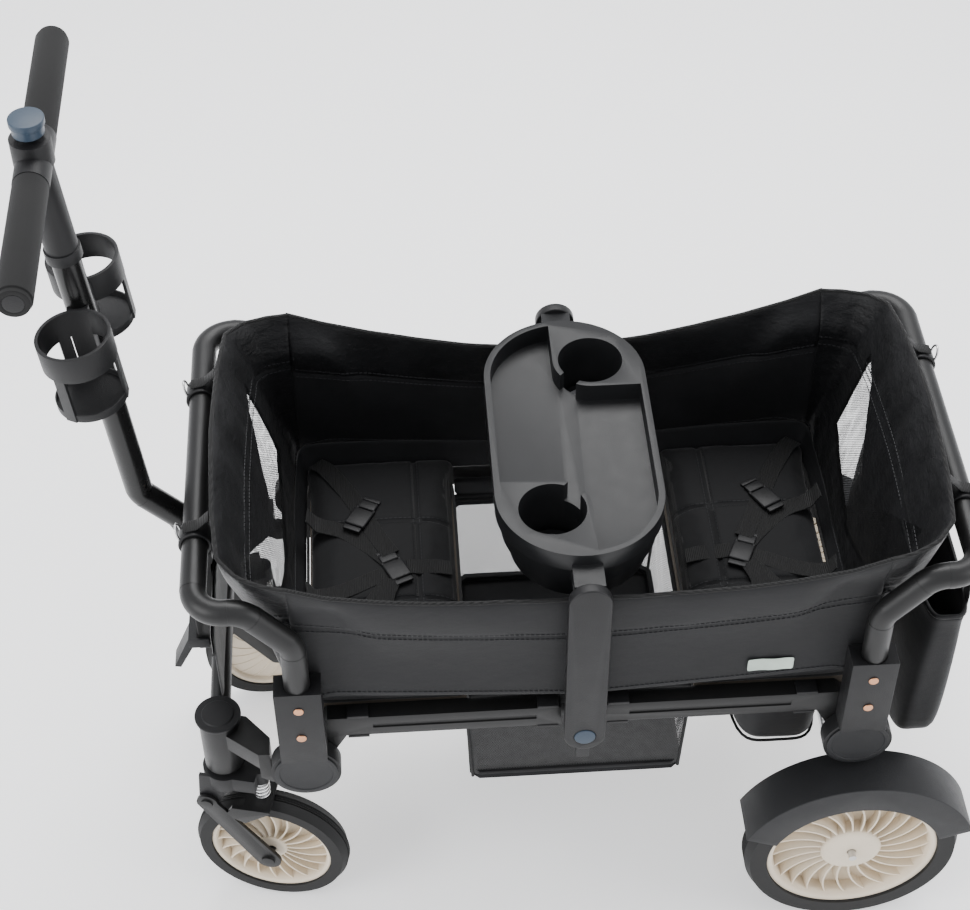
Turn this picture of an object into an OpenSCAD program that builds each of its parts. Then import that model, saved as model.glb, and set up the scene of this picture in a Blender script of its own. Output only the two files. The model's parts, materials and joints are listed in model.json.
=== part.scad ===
// Kids pull wagon: two facing seats in a fabric tub, a foot-well and a snack tray between them.
// Two rigid chassis ends carry the wheels; hinged side rails join them and fold upward in the middle.
// +X is the rear end, +Z is up, and the near side is -Y.

/* [Chassis] */
// Half the distance between the front and rear fold hubs
hub_half = 342; // [330:1:350]
// Height of the fold hub axes
hub_z = 348; // [342:1:354]
// Outer radius of a hub pod
pod_r = 43; // [40:1:44]
// Inner face of the pods, measured from the middle plane
pod_y = 219; // [215:1:222]
// Radius of the end frame tubes
frame_r = 15.5; // [12:0.5:15.5]
// Height of the end bars
end_bar_z = 652; // [640:1:665]
// Height of the hub sleeves' top edge
sleeve_top = 515; // [500:1:525]

/* [Rails] */
// Height of the rail section
rail_h = 34; // [28:1:36]
// Thickness of the rail section
rail_w = 22; // [20:1:24]
// Height of the rail centre line
rail_z = 405; // [403:1:407]
// Height of the centre hinge axis
centre_z = 395; // [393:1:397]
// Radius of the fold pins
fold_pin_r = 8; // [6:0.5:9]

/* [Wheels] */
// Outer radius of the rear tyres
rear_tyre_r = 140; // [130:1:142]
// Width of the rear tyres
rear_tyre_w = 48; // [40:1:48]
// Radius of the rear wheel discs
rear_disc_r = 112; // [100:1:114]
// Distance from the middle hinge back to the rear axle
rear_axle_x = 355; // [350:1:360]
// Outer radius of the front tyres
front_tyre_r = 103; // [95:1:103]
// Width of the front tyres
front_tyre_w = 34; // [28:1:35]
// Radius of the front wheel discs
front_disc_r = 82; // [75:1:84]
// Radius of the axles and axle bolts
axle_r = 5; // [4:0.5:6]

/* [Casters] */
// Distance from the middle hinge forward to the caster axes
caster_x = 451; // [445:1:455]
// Distance from the middle plane to the caster axes
caster_y = 162; // [156:1:164]
// Distance the front wheels trail behind the caster axes
caster_trail = 50; // [45:1:54]
// Angle that the front wheels are toed out at rest
caster_yaw = 13; // [0:1:20]
// Radius of the caster stems
stem_r = 9; // [7:0.5:11]

/* [Tray] */
// Half the length of the tray, across the wagon
tray_half_l = 199.5; // [190:0.5:204]
// Half the width of the tray
tray_half_w = 100; // [95:1:105]
// Height of the tray rim
tray_z = 677; // [670:1:690]
// Radius of the tray's cup wells
well_r = 40; // [35:1:42]
// Depth of the tray's cup wells
well_depth = 80; // [60:1:85]
// Thickness of the tray arms
arm_t = 13; // [11:1:14]
// Radius of the release buttons
button_r = 13; // [10:0.5:15]

/* [Handle] */
// Radius of the lower handle tube
handle_r = 16.5; // [14:0.5:17]
// Height of the cross grip's centre line
grip_z = 1114; // [1090:1:1120]
// Half the length of the cross grip
grip_half = 224; // [180:1:230]
// Outer radius of the foam grips
grip_r = 19; // [17:0.5:21]
// Outer radius of the cup holder rings
ring_r = 42; // [38:0.5:43]
// Height of the cup holders
cup_h = 95; // [80:1:100]
// Travel of the telescoping handle
handle_travel = 48; // [20:1:48]

/* [Soft parts] */
// Thickness of the tub's fabric walls
wall_t = 8; // [5:0.5:10]
// Thickness of the seat cushions
cushion_t = 46; // [30:1:50]
// Height of the foot-well floor
well_floor_z = 215; // [200:1:240]
// Half the foot-well's length at the top
well_half_x = 146; // [130:1:150]
// Half the foot-well's width
well_half_y = 170; // [150:1:180]

/* [Hidden] */
$fn = 64;
// clearances
run = 0.05;
gap = 0.5;
// extents, and the shift that centres the whole part on its bounding box
guard_r = rear_tyre_r + 18;
guard_start = 20;
handle_p0 = [-466, 0, 505];
handle_p1 = [-484, 0, 565];
handle_p2 = [-526, 0, 610];
handle_dir = [-0.0896, 0, 0.996];
cup_z = 835;
ring_top = handle_at(cup_z + cup_h);
x_shift = (ring_r * handle_dir[2] - ring_top[0] - rear_axle_x - guard_r * cos(guard_start)) / 2;
// rails
rail_y0 = pod_y - 1 - rail_w;
rail_y1 = pod_y - 1;
rail_lo = rail_z - rail_h / 2;
rail_hi = rail_z + rail_h / 2;
pin_head = rail_y0 - 0.5;
lap = (rail_y0 + rail_y1) / 2;
collar_in = 27;
collar_out = 275;
// chassis
frame_y = pod_y + 0.5 + frame_r;
end_bar_x = 450;
sleeve_w = 56;
sleeve_y1 = frame_y + frame_r + 1;
cap_r = pod_r - 4;
cap_y = pod_y + 22;
leg_y0 = rail_y0 + 1;
leg_y1 = pod_y - 2;
guard_y0 = leg_y1;
wheel_y0 = 225;
wheel_y1 = wheel_y0 + rear_tyre_w;
guard_y1 = wheel_y1 + 7;
// centre hinge
bracket_y1 = pod_y + 12;
arm_y0 = bracket_y1 + 1;
arm_y1 = arm_y0 + arm_t;
arm_r = 25;
button_y0 = arm_y1 - 3.5;
// tray
well_x = 34;
well_y = tray_half_l - 75;
recess_depth = 26;
// soft parts
wall_y1 = pod_y - 0.6;
wall_y0 = wall_y1 - wall_t;
board_t = 10;
board_z = rail_lo + 14;
seat_x0 = 137;
seat_x1 = 336;
// casters
caster_top = 368;
yoke_z = 245;
yoke_t = 25;
pivot_x = -22;
pivot_z = 217;
fork_y0 = front_tyre_w / 2 + 3;
fork_t = 5;
link_y0 = fork_y0 + fork_t + 0.4;
link_t = 5;
spring_r = 11;
bridge_z = 2 * front_tyre_r + 3;
// brake
brake_x = 392;
brake_z = 150;
brake_pcd = 28;
// foot pedal axis
pedal_x = -476;
pedal_z = 345;

// ---- helpers ----

function unit(v) = v / norm(v);
// point of the handle's straight run at height z
function handle_at(z) = handle_p2 + handle_dir * (z - handle_p2[2]) / handle_dir[2];

// one finished sub-part, moved into the shared frame
module part(c) {
    color(c)
        translate([x_shift, 0, 0])
            children();
}

// the same shape on both sides of the middle plane
module both() {
    children();
    mirror([0, 1, 0])
        children();
}

// a flat shape drawn in x and z, between two distances out on the near side
module slab(y0, y1) {
    rotate([90, 0, 0])
        translate([0, 0, y0])
            linear_extrude(y1 - y0)
                children();
}

// a disc about a cross axis on the near side
module disc(x, z, r, y0, y1) {
    slab(y0, y1)
        translate([x, z])
            circle(r);
}

// a straight rod between two points
module rod(p, q, r) {
    d = q - p;
    translate(p)
        rotate([0, acos(d[2] / norm(d)), atan2(d[1], d[0])])
            cylinder(h = norm(d), r = r);
}

// an elbow at b, on the way from a to c
module elbow(a, b, c, r, rb) {
    u = unit(b - a);
    v = unit(c - b);
    turn = acos(u * v);
    n = unit(v - u * (u * v));
    o = b - u * rb * tan(turn / 2) + n * rb;
    w = cross(-n, u);
    multmatrix([[-n[0], u[0], w[0], o[0]], [-n[1], u[1], w[1], o[1]],
            [-n[2], u[2], w[2], o[2]], [0, 0, 0, 1]])
        rotate_extrude(angle = turn)
            translate([rb, 0])
                circle(r);
}

// how far an elbow reaches along its two legs
function reach(a, b, c, rb) = rb * tan(acos(unit(b - a) * unit(c - b)) / 2);

// a bent tube through a list of points; the rods run 2 mm into elbows that are a little thinner
module tube(pts, r, rb) {
    n = len(pts);
    for (i = [0 : n - 2]) {
        u = unit(pts[i + 1] - pts[i]);
        s = i == 0 ? 0 : reach(pts[i - 1], pts[i], pts[i + 1], rb) - 2;
        e = i == n - 2 ? 0 : reach(pts[i], pts[i + 1], pts[i + 2], rb) - 2;
        rod(pts[i] + u * s, pts[i + 1] - u * e, r);
        if (i < n - 2)
            elbow(pts[i], pts[i + 1], pts[i + 2], r - 0.3, rb);
    }
}

// turns rear-end parts into front-end parts
module front() {
    mirror([1, 0, 0])
        children();
}

// ---- chassis ends, drawn at the rear ----

module end_frame() {
    a = [hub_half, -frame_y, sleeve_top - 40];
    b = [hub_half, -frame_y, 588];
    c = [394, -frame_y, end_bar_z];
    d = [end_bar_x, -frame_y, end_bar_z];
    flip = [[1, 0, 0], [0, -1, 0], [0, 0, 1]];
    tube([a, b, c, d, flip * d, flip * c, flip * b, flip * a], frame_r, 36);
}

module end_pods() {
    both() {
        difference() {
            union() {
                disc(hub_half, hub_z, pod_r, pod_y, cap_y);
                slab(pod_y, sleeve_y1)
                    translate([hub_half - sleeve_w / 2, hub_z + pod_r - 8])
                        square([sleeve_w, sleeve_top - hub_z - pod_r + 8]);
                slab(leg_y1, pod_y + 13)
                    translate([hub_half - 15, hub_z - 46])
                        square([30, 13]);
            }
            translate([hub_half, -frame_y, sleeve_top - 40])
                cylinder(h = 60, r = frame_r + run);
            disc(hub_half, hub_z, cap_r + 0.3, cap_y, sleeve_y1 + 1);
        }
        disc(hub_half, hub_z, fold_pin_r, pin_head - 1, pod_y + 1);
        disc(hub_half, hub_z, fold_pin_r + 4, pin_head - 6, pin_head);
    }
}

module end_caps() {
    both()
        difference() {
            disc(hub_half, hub_z, cap_r, cap_y, cap_y + 2.5);
            disc(hub_half, hub_z, cap_r - 6, cap_y + 1.5, cap_y + 4);
        }
}

module end_rivets() {
    both()
        for (z = [sleeve_top - 82, sleeve_top - 30])
            disc(hub_half, z, 6, sleeve_y1, sleeve_y1 + 2);
}

module end_rings() {
    for (y = [-120, 120])
        translate([end_bar_x, y, end_bar_z])
            rotate([90, 0, 0])
                difference() {
                    cylinder(h = 24, r = frame_r + 4, center = true);
                    cylinder(h = 30, r = frame_r + run, center = true);
                }
}

module fold_rails(y0, y1) {
    both()
        difference() {
            union() {
                slab(rail_y0, rail_y1)
                    translate([collar_in, rail_lo])
                        square([collar_out - collar_in + 16, rail_h]);
                slab(y0, y1)
                    translate([0, centre_z])
                        circle(18);
                slab(y0, y1)
                    translate([0, rail_lo + 2])
                        square([collar_in + 1, 24]);
                slab(rail_y0, rail_y1)
                    polygon([[collar_out + 15, rail_lo], [collar_out + 15, rail_hi],
                        [312, rail_hi], [hub_half + 22, hub_z + 22], [hub_half - 24, hub_z - 12]]);
                disc(hub_half, hub_z, 31, rail_y0, rail_y1);
            }
            disc(hub_half, hub_z, fold_pin_r + run, rail_y0 - 5, rail_y1 + 5);
            disc(0, centre_z, fold_pin_r + run, rail_y0 - 5, rail_y1 + 5);
            slab(rail_y1 - 2, rail_y1 + 3)
                translate([collar_in + 30, rail_z - 4])
                    square([collar_out - collar_in - 48, 8]);
        }
}

module rail_collars() {
    both()
        for (x = [collar_in + 3, collar_out - 13])
            slab(rail_y0 + 4, rail_y1 + 0.8)
                difference() {
                    translate([x, rail_lo - 4])
                        square([26, rail_h + 8]);
                    translate([x - 1, rail_lo])
                        square([28, rail_h]);
                }
}

module seat_board() {
    translate([seat_x0 + 4, -rail_y0, board_z])
        cube([seat_x1 - seat_x0 - 8, 2 * rail_y0, board_t]);
}

module cushion() {
    y = rail_y0 - 1;
    z = board_z + board_t;
    difference() {
        translate([seat_x0, -y, z])
            cube([seat_x1 - seat_x0, 2 * y, cushion_t]);
        for (y2 = [-y, y])
            translate([seat_x0 - 1, y2, z + cushion_t])
                rotate([0, 90, 0])
                    cylinder(h = seat_x1, r = 14);
    }
}

// the tub's U-shaped end: two half side walls and a leaning end wall
module tub_end() {
    x0 = gap;
    both()
        slab(wall_y0, wall_y1)
            polygon([[x0, 440], [300, 462], [345, 428], [355, 428], [424, 706], [376, 694],
                [300, 662], [200, 640], [100, 622], [x0, 620]]);
    slab(-wall_y1, wall_y1)
        polygon([[345, 428], [355, 428], [430, 712], [420, 712]]);
}

// ---- rear chassis ----

module rear_frame() {
    part("#202124") end_frame();
}

module rear_pods() {
    part("#17181a") end_pods();
}

module rear_hub_caps() {
    part("#2a2b2e") end_caps();
}

module rear_rivets() {
    part("#a8643c") end_rivets();
}

// the legs from the pods down to the axle, with the tube that joins them
module rear_legs() {
    part("#1c1d20") {
        both()
            difference() {
                union() {
                    slab(leg_y0, leg_y1)
                        polygon([[hub_half - 18, hub_z - 33], [hub_half + 16, hub_z - 33],
                            [rear_axle_x + 20, rear_tyre_r], [rear_axle_x - 20, rear_tyre_r]]);
                    disc(rear_axle_x, rear_tyre_r, 20, leg_y0, leg_y1);
                    slab(leg_y0, leg_y1)
                        polygon([[rear_axle_x, rear_tyre_r - 14], [brake_x + 14, brake_z - 12],
                            [brake_x + 14, brake_z + 12], [rear_axle_x, rear_tyre_r + 22]]);
                }
                disc(rear_axle_x, rear_tyre_r, axle_r + run, leg_y0 - 5, leg_y1 + 5);
                disc(brake_x, brake_z, 6 + run, leg_y0 - 5, leg_y1 + 5);
                disc(rear_axle_x, rear_tyre_r + brake_pcd, 4 + run, leg_y0 - 5, leg_y1 + 5);
            }
        rod([hub_half - 2, -leg_y0 - 0.5, 290], [hub_half - 2, leg_y0 + 0.5, 290], 12);
    }
}

module rear_axle() {
    part("#9aa0a6") {
        rod([rear_axle_x, -wheel_y1 - 3, rear_tyre_r], [rear_axle_x, wheel_y1 + 3, rear_tyre_r], axle_r);
        both()
            difference() {
                disc(rear_axle_x, rear_tyre_r, 12, leg_y1, wheel_y0 - 3);
                disc(rear_axle_x, rear_tyre_r, 11, leg_y1 + 1, wheel_y0 - 4);
            }
    }
}

module mudguards() {
    part("#232427")
        both()
            translate([rear_axle_x, 0, rear_tyre_r])
                rotate([90, 0, 0])
                    rotate(guard_start)
                        rotate_extrude(angle = 137)
                            polygon([[guard_r - 3, guard_y0], [guard_r, guard_y0], [guard_r, guard_y1],
                                [rear_disc_r + 2, guard_y1], [rear_disc_r + 2, guard_y1 - 3],
                                [guard_r - 3, guard_y1 - 3]]);
}

// a foot bar on a cross shaft, behind the axle
module brake_pedal() {
    part("#33363b") {
        rod([brake_x, -leg_y1 - 1, brake_z], [brake_x, leg_y1 + 1, brake_z], 6);
        slab(-60, 60)
            polygon([[brake_x - 8, brake_z - 8], [brake_x + 10, brake_z - 9], [brake_x + 62, brake_z + 8],
                [brake_x + 62, brake_z + 16], [brake_x + 8, brake_z + 9], [brake_x - 8, brake_z + 8]]);
    }
}

module brake_pin() {
    disc(rear_axle_x, rear_tyre_r + brake_pcd, 4, leg_y0 - 9, leg_y1 + 5);
    disc(rear_axle_x, rear_tyre_r + brake_pcd, 7, leg_y0 - 14, leg_y0 - 8.5);
}

module brake_pin_near() {
    part("#8d9197") brake_pin();
}

module brake_pin_far() {
    part("#8d9197") mirror([0, 1, 0]) brake_pin();
}

module rear_disc() {
    o = [rear_axle_x, rear_tyre_r];
    difference() {
        union() {
            difference() {
                disc(o[0], o[1], rear_disc_r, wheel_y0 + 3, wheel_y1 - 3);
                disc(o[0], o[1], rear_disc_r - 5, wheel_y0 + 2, wheel_y1 - 2);
            }
            disc(o[0], o[1], rear_disc_r - 4, wheel_y0 + 18, wheel_y1 - 14);
            disc(o[0], o[1], 40, wheel_y0, wheel_y1 - 6);
        }
        disc(o[0], o[1], axle_r + run, wheel_y0 - 5, wheel_y1 + 5);
        for (a = [0 : 45 : 315])
            disc(o[0] + brake_pcd * sin(a), o[1] + brake_pcd * cos(a), 4.6, wheel_y0 - 2, wheel_y0 + 12);
    }
}

module rear_tyre() {
    o = [rear_axle_x, rear_tyre_r];
    e = 9;
    translate([o[0], 0, o[1]])
        rotate([90, 0, 0])
            rotate_extrude()
                polygon([[rear_disc_r, wheel_y0 + 1], [rear_tyre_r - e, wheel_y0 + 1],
                    [rear_tyre_r, wheel_y0 + e + 4], [rear_tyre_r, wheel_y1 - e - 4],
                    [rear_tyre_r - e, wheel_y1 - 1], [rear_disc_r, wheel_y1 - 1]]);
}

module rear_tyre_near() {
    part("#3a3b3d") rear_tyre();
}

module rear_tyre_far() {
    part("#3a3b3d") mirror([0, 1, 0]) rear_tyre();
}

module rear_disc_near() {
    part("#d9d2c2") rear_disc();
}

module rear_disc_far() {
    part("#d9d2c2") mirror([0, 1, 0]) rear_disc();
}

module tub_rear() {
    part("#1d1e22") tub_end();
}

// the open basket that hangs behind the rear seat
module storage_basket() {
    part("#26272b")
        difference() {
            slab(-190, 190)
                polygon([[396, 268], [470, 280], [474, 520], [414, 520]]);
            slab(-184, 184)
                polygon([[403, 275], [464, 286], [468, 530], [420, 530]]);
        }
    part("#26272b")
        both()
            slab(150, 160)
                polygon([[440, 514], [474, 514], [462, end_bar_z - frame_r - 0.4], [444, end_bar_z - frame_r - 0.4]]);
}

module rear_rings() {
    part("#0f1012") end_rings();
}

// ---- rails and seats ----

module rear_rails() {
    part("#202124") fold_rails(lap + 0.4, rail_y1);
}

module rear_collars() {
    part("#0f1012") rail_collars();
}

module rear_seat_board() {
    part("#55524c") seat_board();
}

module rear_cushion() {
    part("#1a1b1f") cushion();
}

// the zipped box under the rear seat
module seat_box() {
    part("#1f2023")
        difference() {
            translate([204, -well_half_y, 255])
                cube([114, 2 * well_half_y, board_z - 255]);
            translate([208, -well_half_y + 4, 259])
                cube([106, 2 * well_half_y - 8, board_z - 270]);
            translate([200, -well_half_y + 20, 318])
                cube([20, 2 * well_half_y - 40, 60]);
        }
}

module front_rails() {
    part("#202124") front() fold_rails(rail_y0, lap - 0.4);
}

module front_collars() {
    part("#0f1012") front() rail_collars();
}

module front_seat_board() {
    part("#55524c") front() seat_board();
}

module front_cushion() {
    part("#1a1b1f") front() cushion();
}

// ---- middle: brackets, foot-well and tray ----

module centre_brackets() {
    part("#17181a")
        both() {
            disc(0, centre_z, 24, pod_y, bracket_y1);
            slab(pod_y, bracket_y1)
                translate([-8, 335])
                    square([16, centre_z - 335]);
            slab(well_half_y, bracket_y1)
                translate([-8, 335])
                    square([16, 10]);
            slab(bracket_y1 - 1, arm_y0 + 6)
                translate([-12, centre_z + 2])
                    square([24, 18]);
            disc(0, centre_z, fold_pin_r, pin_head - 1, pod_y + 1);
            disc(0, centre_z, fold_pin_r + 4, pin_head - 6, pin_head);
        }
}

module foot_well() {
    x0 = well_half_x - 10;
    part("#1b1c20")
        difference() {
            slab(-well_half_y, well_half_y)
                polygon([[-x0, well_floor_z], [x0, well_floor_z], [well_half_x, 398], [-well_half_x, 398]]);
            slab(-well_half_y + 6, well_half_y - 6)
                polygon([[-x0 + 6, well_floor_z + 8], [x0 - 6, well_floor_z + 8], [well_half_x - 6, 405],
                    [-well_half_x + 6, 405]]);
        }
}

module stadium(half_l, half_w) {
    for (y = [-half_l + half_w, half_l - half_w])
        translate([0, y])
            circle(half_w);
    square([2 * half_w, 2 * (half_l - half_w)], center = true);
}

// the raised surround of one cup well, which the snack recess goes round
module well_surround() {
    translate([-well_x, -well_y])
        circle(well_r + 7);
    translate([-tray_half_w, -well_y - well_r - 7])
        square([tray_half_w - well_x, 2 * well_r + 14]);
    translate([-tray_half_w, -tray_half_l])
        square([tray_half_w - well_x + well_r + 7, tray_half_l - well_y]);
}

// a cup well, and the channel from it to the recess
module well_cut() {
    translate([-well_x, -well_y, tray_z - well_depth])
        cylinder(h = well_depth + 5, r = well_r);
    translate([-well_x, -well_y, tray_z - recess_depth])
        rotate(48)
            translate([0, -12, 0])
                cube([well_r + 24, 24, recess_depth + 5]);
}

module tray() {
    part("#222326")
        difference() {
            union() {
                translate([0, 0, tray_z - 26])
                    linear_extrude(26)
                        stadium(tray_half_l, tray_half_w);
                translate([0, 0, tray_z - 56])
                    linear_extrude(32)
                        stadium(tray_half_l - 7, tray_half_w - 7);
                translate([0, 0, tray_z - well_depth - 8])
                    linear_extrude(well_depth - 44)
                        stadium(tray_half_l - 17, tray_half_w - 17);
                both()
                    translate([-18, -arm_y0, tray_z - 40])
                        cube([36, arm_y0 - tray_half_l + 30, 24]);
            }
            well_cut();
            rotate(180)
                well_cut();
            translate([0, 0, tray_z - recess_depth])
                linear_extrude(recess_depth + 5)
                    difference() {
                        stadium(tray_half_l - 8, tray_half_w - 8);
                        well_surround();
                        rotate(180)
                            well_surround();
                    }
        }
}

module tray_arms() {
    part("#191a1c")
        both()
            difference() {
                union() {
                    disc(0, centre_z, arm_r, arm_y0, arm_y1);
                    disc(0, tray_z - arm_r - 10, arm_r, arm_y0, arm_y1);
                    slab(arm_y0, arm_y1)
                        translate([-arm_r, centre_z])
                            square([2 * arm_r, tray_z - centre_z - arm_r - 10]);
                }
                disc(0, centre_z, button_r + run, button_y0 - 1, arm_y1 + 2);
                slab(arm_y0 - 1, arm_y0 + 6.2)
                    translate([-12.1, centre_z - 40])
                        square([24.2, 60.1]);
            }
}

module cup_discs() {
    part("#9b9d9f")
        for (s = [-1, 1])
            translate([well_x * s, well_y * s, tray_z - well_depth])
                cylinder(h = 1.5, r = well_r - 8);
}

module button() {
    disc(0, centre_z, button_r, button_y0 + 1.8, arm_y1 + 1);
}

module button_near() {
    part("#6f8494") button();
}

module button_far() {
    part("#6f8494") mirror([0, 1, 0]) button();
}

// ---- front chassis ----

module front_frame() {
    part("#202124") front() end_frame();
}

module front_pods() {
    part("#17181a") front() end_pods();
}

module front_hub_caps() {
    part("#2a2b2e") front() end_caps();
}

module front_rivets() {
    part("#a8643c") front() end_rivets();
}

// beams from the pods to the caster housings, the cross tube and the handle's post
module front_cross() {
    beam_lo = hub_z - 20;
    foot_lo = hub_z - pod_r - 6;
    step_x = hub_half + pod_r + 2;
    part("#1c1d20") {
        both() {
            difference() {
                union() {
                    translate([-caster_x, -caster_y, yoke_z + yoke_t + 8])
                        cylinder(h = caster_top - yoke_z - yoke_t - 8, r = 25);
                    translate([0, 0, beam_lo])
                        linear_extrude(28)
                            polygon([[-caster_x, -caster_y + 16], [-caster_x, -caster_y - 16],
                                [-step_x - 14, -leg_y1], [-step_x, -leg_y1], [-step_x, -leg_y0 + 6],
                                [-step_x - 30, -caster_y + 6]]);
                }
                translate([-caster_x, -caster_y, yoke_z])
                    cylinder(h = caster_top - yoke_z - 8, r = stem_r + run);
            }
            slab(leg_y0 - 5, leg_y1)
                polygon([[-step_x - 14, beam_lo + 28], [-step_x, beam_lo + 28], [-step_x, foot_lo + 15],
                    [-hub_half + 15, foot_lo + 15], [-hub_half + 15, foot_lo], [-step_x, foot_lo],
                    [-step_x - 14, foot_lo + 10]]);
        }
        rod([-caster_x, -caster_y + 24.5, hub_z - 4], [-caster_x, caster_y - 24.5, hub_z - 4], 13);
        difference() {
            union() {
                translate([-482, -22, 331])
                    cube([30, 44, handle_p0[2] - 331]);
                disc(handle_p0[0], handle_p0[2], 18, -22, 22);
            }
            translate([-490, -14, handle_p0[2] - 20])
                cube([50, 28, 60]);
            disc(handle_p0[0], handle_p0[2], 5 + run, -40, 40);
            disc(pedal_x, pedal_z, 4 + run, -40, 40);
        }
    }
}

module caster_caps() {
    part("#141517")
        both()
            translate([-caster_x, -caster_y, caster_top]) {
                cylinder(h = 4, r = 29);
                cylinder(h = 6, r = 20);
            }
}

module tub_front() {
    part("#1d1e22") front() tub_end();
}

module front_pocket() {
    part("#232428")
        translate([-451, -131, 358])
            cube([10, 262, 127]);
}

module front_rings() {
    part("#0f1012") front() end_rings();
}

// moves a caster part from its own frame, with the trail along +X, to its place
module caster_place(side) {
    translate([-caster_x, side * caster_y, 0])
        rotate(side * caster_yaw)
            children();
}

module yoke() {
    difference() {
        union() {
            translate([0, 0, yoke_z])
                cylinder(h = yoke_t, r = 29);
            translate([0, -link_y0 + 0.4, yoke_z])
                cube([44, 2 * link_y0 - 0.8, yoke_t]);
            translate([44, 0, yoke_z])
                cylinder(h = yoke_t, r = 12);
            both()
                slab(fork_y0, fork_y0 + fork_t)
                    polygon([[-29, yoke_z + yoke_t], [20, yoke_z + yoke_t], [pivot_x + 12, pivot_z - 8],
                        [pivot_x - 12, pivot_z - 8]]);
            cylinder_stem();
        }
        disc(pivot_x, pivot_z, axle_r + run, -60, 60);
    }
}

module cylinder_stem() {
    translate([0, 0, yoke_z + 5])
        cylinder(h = caster_top - yoke_z - 15, r = stem_r);
}

// the trailing arm pair, with its bolts and the bridge that carries the spring
module link() {
    both() {
        difference() {
            union() {
                slab(link_y0, link_y0 + link_t)
                    polygon([[pivot_x - 14, pivot_z - 4], [pivot_x + 6, pivot_z + 13],
                        [caster_trail + 15, front_tyre_r + 8], [caster_trail - 15, front_tyre_r - 8]]);
                disc(pivot_x, pivot_z, 14, link_y0, link_y0 + link_t);
                disc(caster_trail, front_tyre_r, 17, link_y0, link_y0 + link_t);
                slab(link_y0, link_y0 + link_t)
                    polygon([[0, pivot_z - 22], [26, pivot_z - 34], [60, bridge_z], [60, bridge_z + 4],
                        [10, bridge_z + 4]]);
            }
        }
        disc(pivot_x, pivot_z, 8, link_y0 + link_t, link_y0 + link_t + 3);
        disc(caster_trail, front_tyre_r, 9, link_y0 + link_t, link_y0 + link_t + 4);
    }
    disc(pivot_x, pivot_z, axle_r, -link_y0 - 1, link_y0 + 1);
    disc(caster_trail, front_tyre_r, axle_r, -link_y0 - 1, link_y0 + 1);
    translate([24, -link_y0 - 1, bridge_z])
        cube([36, 2 * link_y0 + 2, 4]);
}

module spring() {
    translate([44, 0, bridge_z + 4])
        rotate_extrude()
            polygon([[6, 0], [spring_r, 0], [spring_r, 6], [spring_r - 2, 8], [spring_r, 10],
                [spring_r, 15], [spring_r - 2, 17], [spring_r, 19], [spring_r, 24], [spring_r - 2, 26],
                [spring_r, 28], [spring_r, yoke_z - bridge_z - 4], [6, yoke_z - bridge_z - 4]]);
}

module front_disc() {
    o = [caster_trail, front_tyre_r];
    w = front_tyre_w / 2;
    difference() {
        union() {
            difference() {
                disc(o[0], o[1], front_disc_r, -w + 2, w - 2);
                disc(o[0], o[1], front_disc_r - 4, -w + 1, w - 1);
            }
            disc(o[0], o[1], front_disc_r - 3, -5, 5);
            disc(o[0], o[1], 22, -w - 1.5, w + 1.5);
        }
        disc(o[0], o[1], axle_r + run, -w - 5, w + 5);
    }
}

module front_tyre() {
    w = front_tyre_w / 2;
    translate([caster_trail, 0, front_tyre_r])
        rotate([90, 0, 0])
            rotate_extrude()
                polygon([[front_disc_r, -w + 1], [front_tyre_r - 8, -w + 1], [front_tyre_r, -w + 9],
                    [front_tyre_r, w - 9], [front_tyre_r - 8, w - 1], [front_disc_r, w - 1]]);
}

module yoke_near() {
    part("#1a1b1e") caster_place(-1) yoke();
}

module yoke_far() {
    part("#1a1b1e") caster_place(1) yoke();
}

module link_near() {
    part("#26282b") caster_place(-1) link();
}

module link_far() {
    part("#26282b") caster_place(1) link();
}

module spring_near() {
    part("#c9ccd0") caster_place(-1) spring();
}

module spring_far() {
    part("#c9ccd0") caster_place(1) spring();
}

module front_tyre_near() {
    part("#3a3b3d") caster_place(-1) front_tyre();
}

module front_tyre_far() {
    part("#3a3b3d") caster_place(1) front_tyre();
}

module front_disc_near() {
    part("#d9d2c2") caster_place(-1) front_disc();
}

module front_disc_far() {
    part("#d9d2c2") caster_place(1) front_disc();
}

// ---- handle ----

// moves a part drawn along +Z to the handle's straight run, from height z up
module on_handle(z) {
    translate(handle_at(z))
        rotate([0, -atan2(-handle_dir[0], handle_dir[2]), 0])
            children();
}

module handle_tube() {
    end = handle_at(1012);
    part("#0e0f11")
        difference() {
            union() {
                tube([handle_p0 + [-3, 0, 24], handle_p1, handle_p2, end], handle_r, 26);
                translate(handle_p0 + [-12, -13.6, -2])
                    cube([22, 27.2, 30]);
                disc(handle_p0[0], handle_p0[2], 12, -13.6, 13.6);
            }
            disc(handle_p0[0], handle_p0[2], 5 + run, -40, 40);
        }
    part("#9aa0a6")
        disc(handle_p0[0], handle_p0[2], 5, -13, 13);
}

module cup_holders() {
    part("#1b1c1f")
        on_handle(cup_z)
            both()
                difference() {
                    union() {
                        translate([0, -66, cup_h - 34])
                            cylinder(h = 34, r = ring_r);
                        translate([0, -66, 0])
                            cylinder(h = 10, r = ring_r - 2);
                        for (a = [0, 120, 240])
                            translate([0, -66, 0])
                                rotate(a)
                                    translate([ring_r - 6, -7, 0])
                                        cube([5, 14, cup_h - 20]);
                        translate([-12, -30, 4])
                            cube([24, 30, cup_h - 10]);
                    }
                    translate([0, -66, 3])
                        cylinder(h = cup_h, r = ring_r - 4);
                    translate([0, 0, -5])
                        cylinder(h = cup_h + 10, r = handle_r + run);
                }
}

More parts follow.
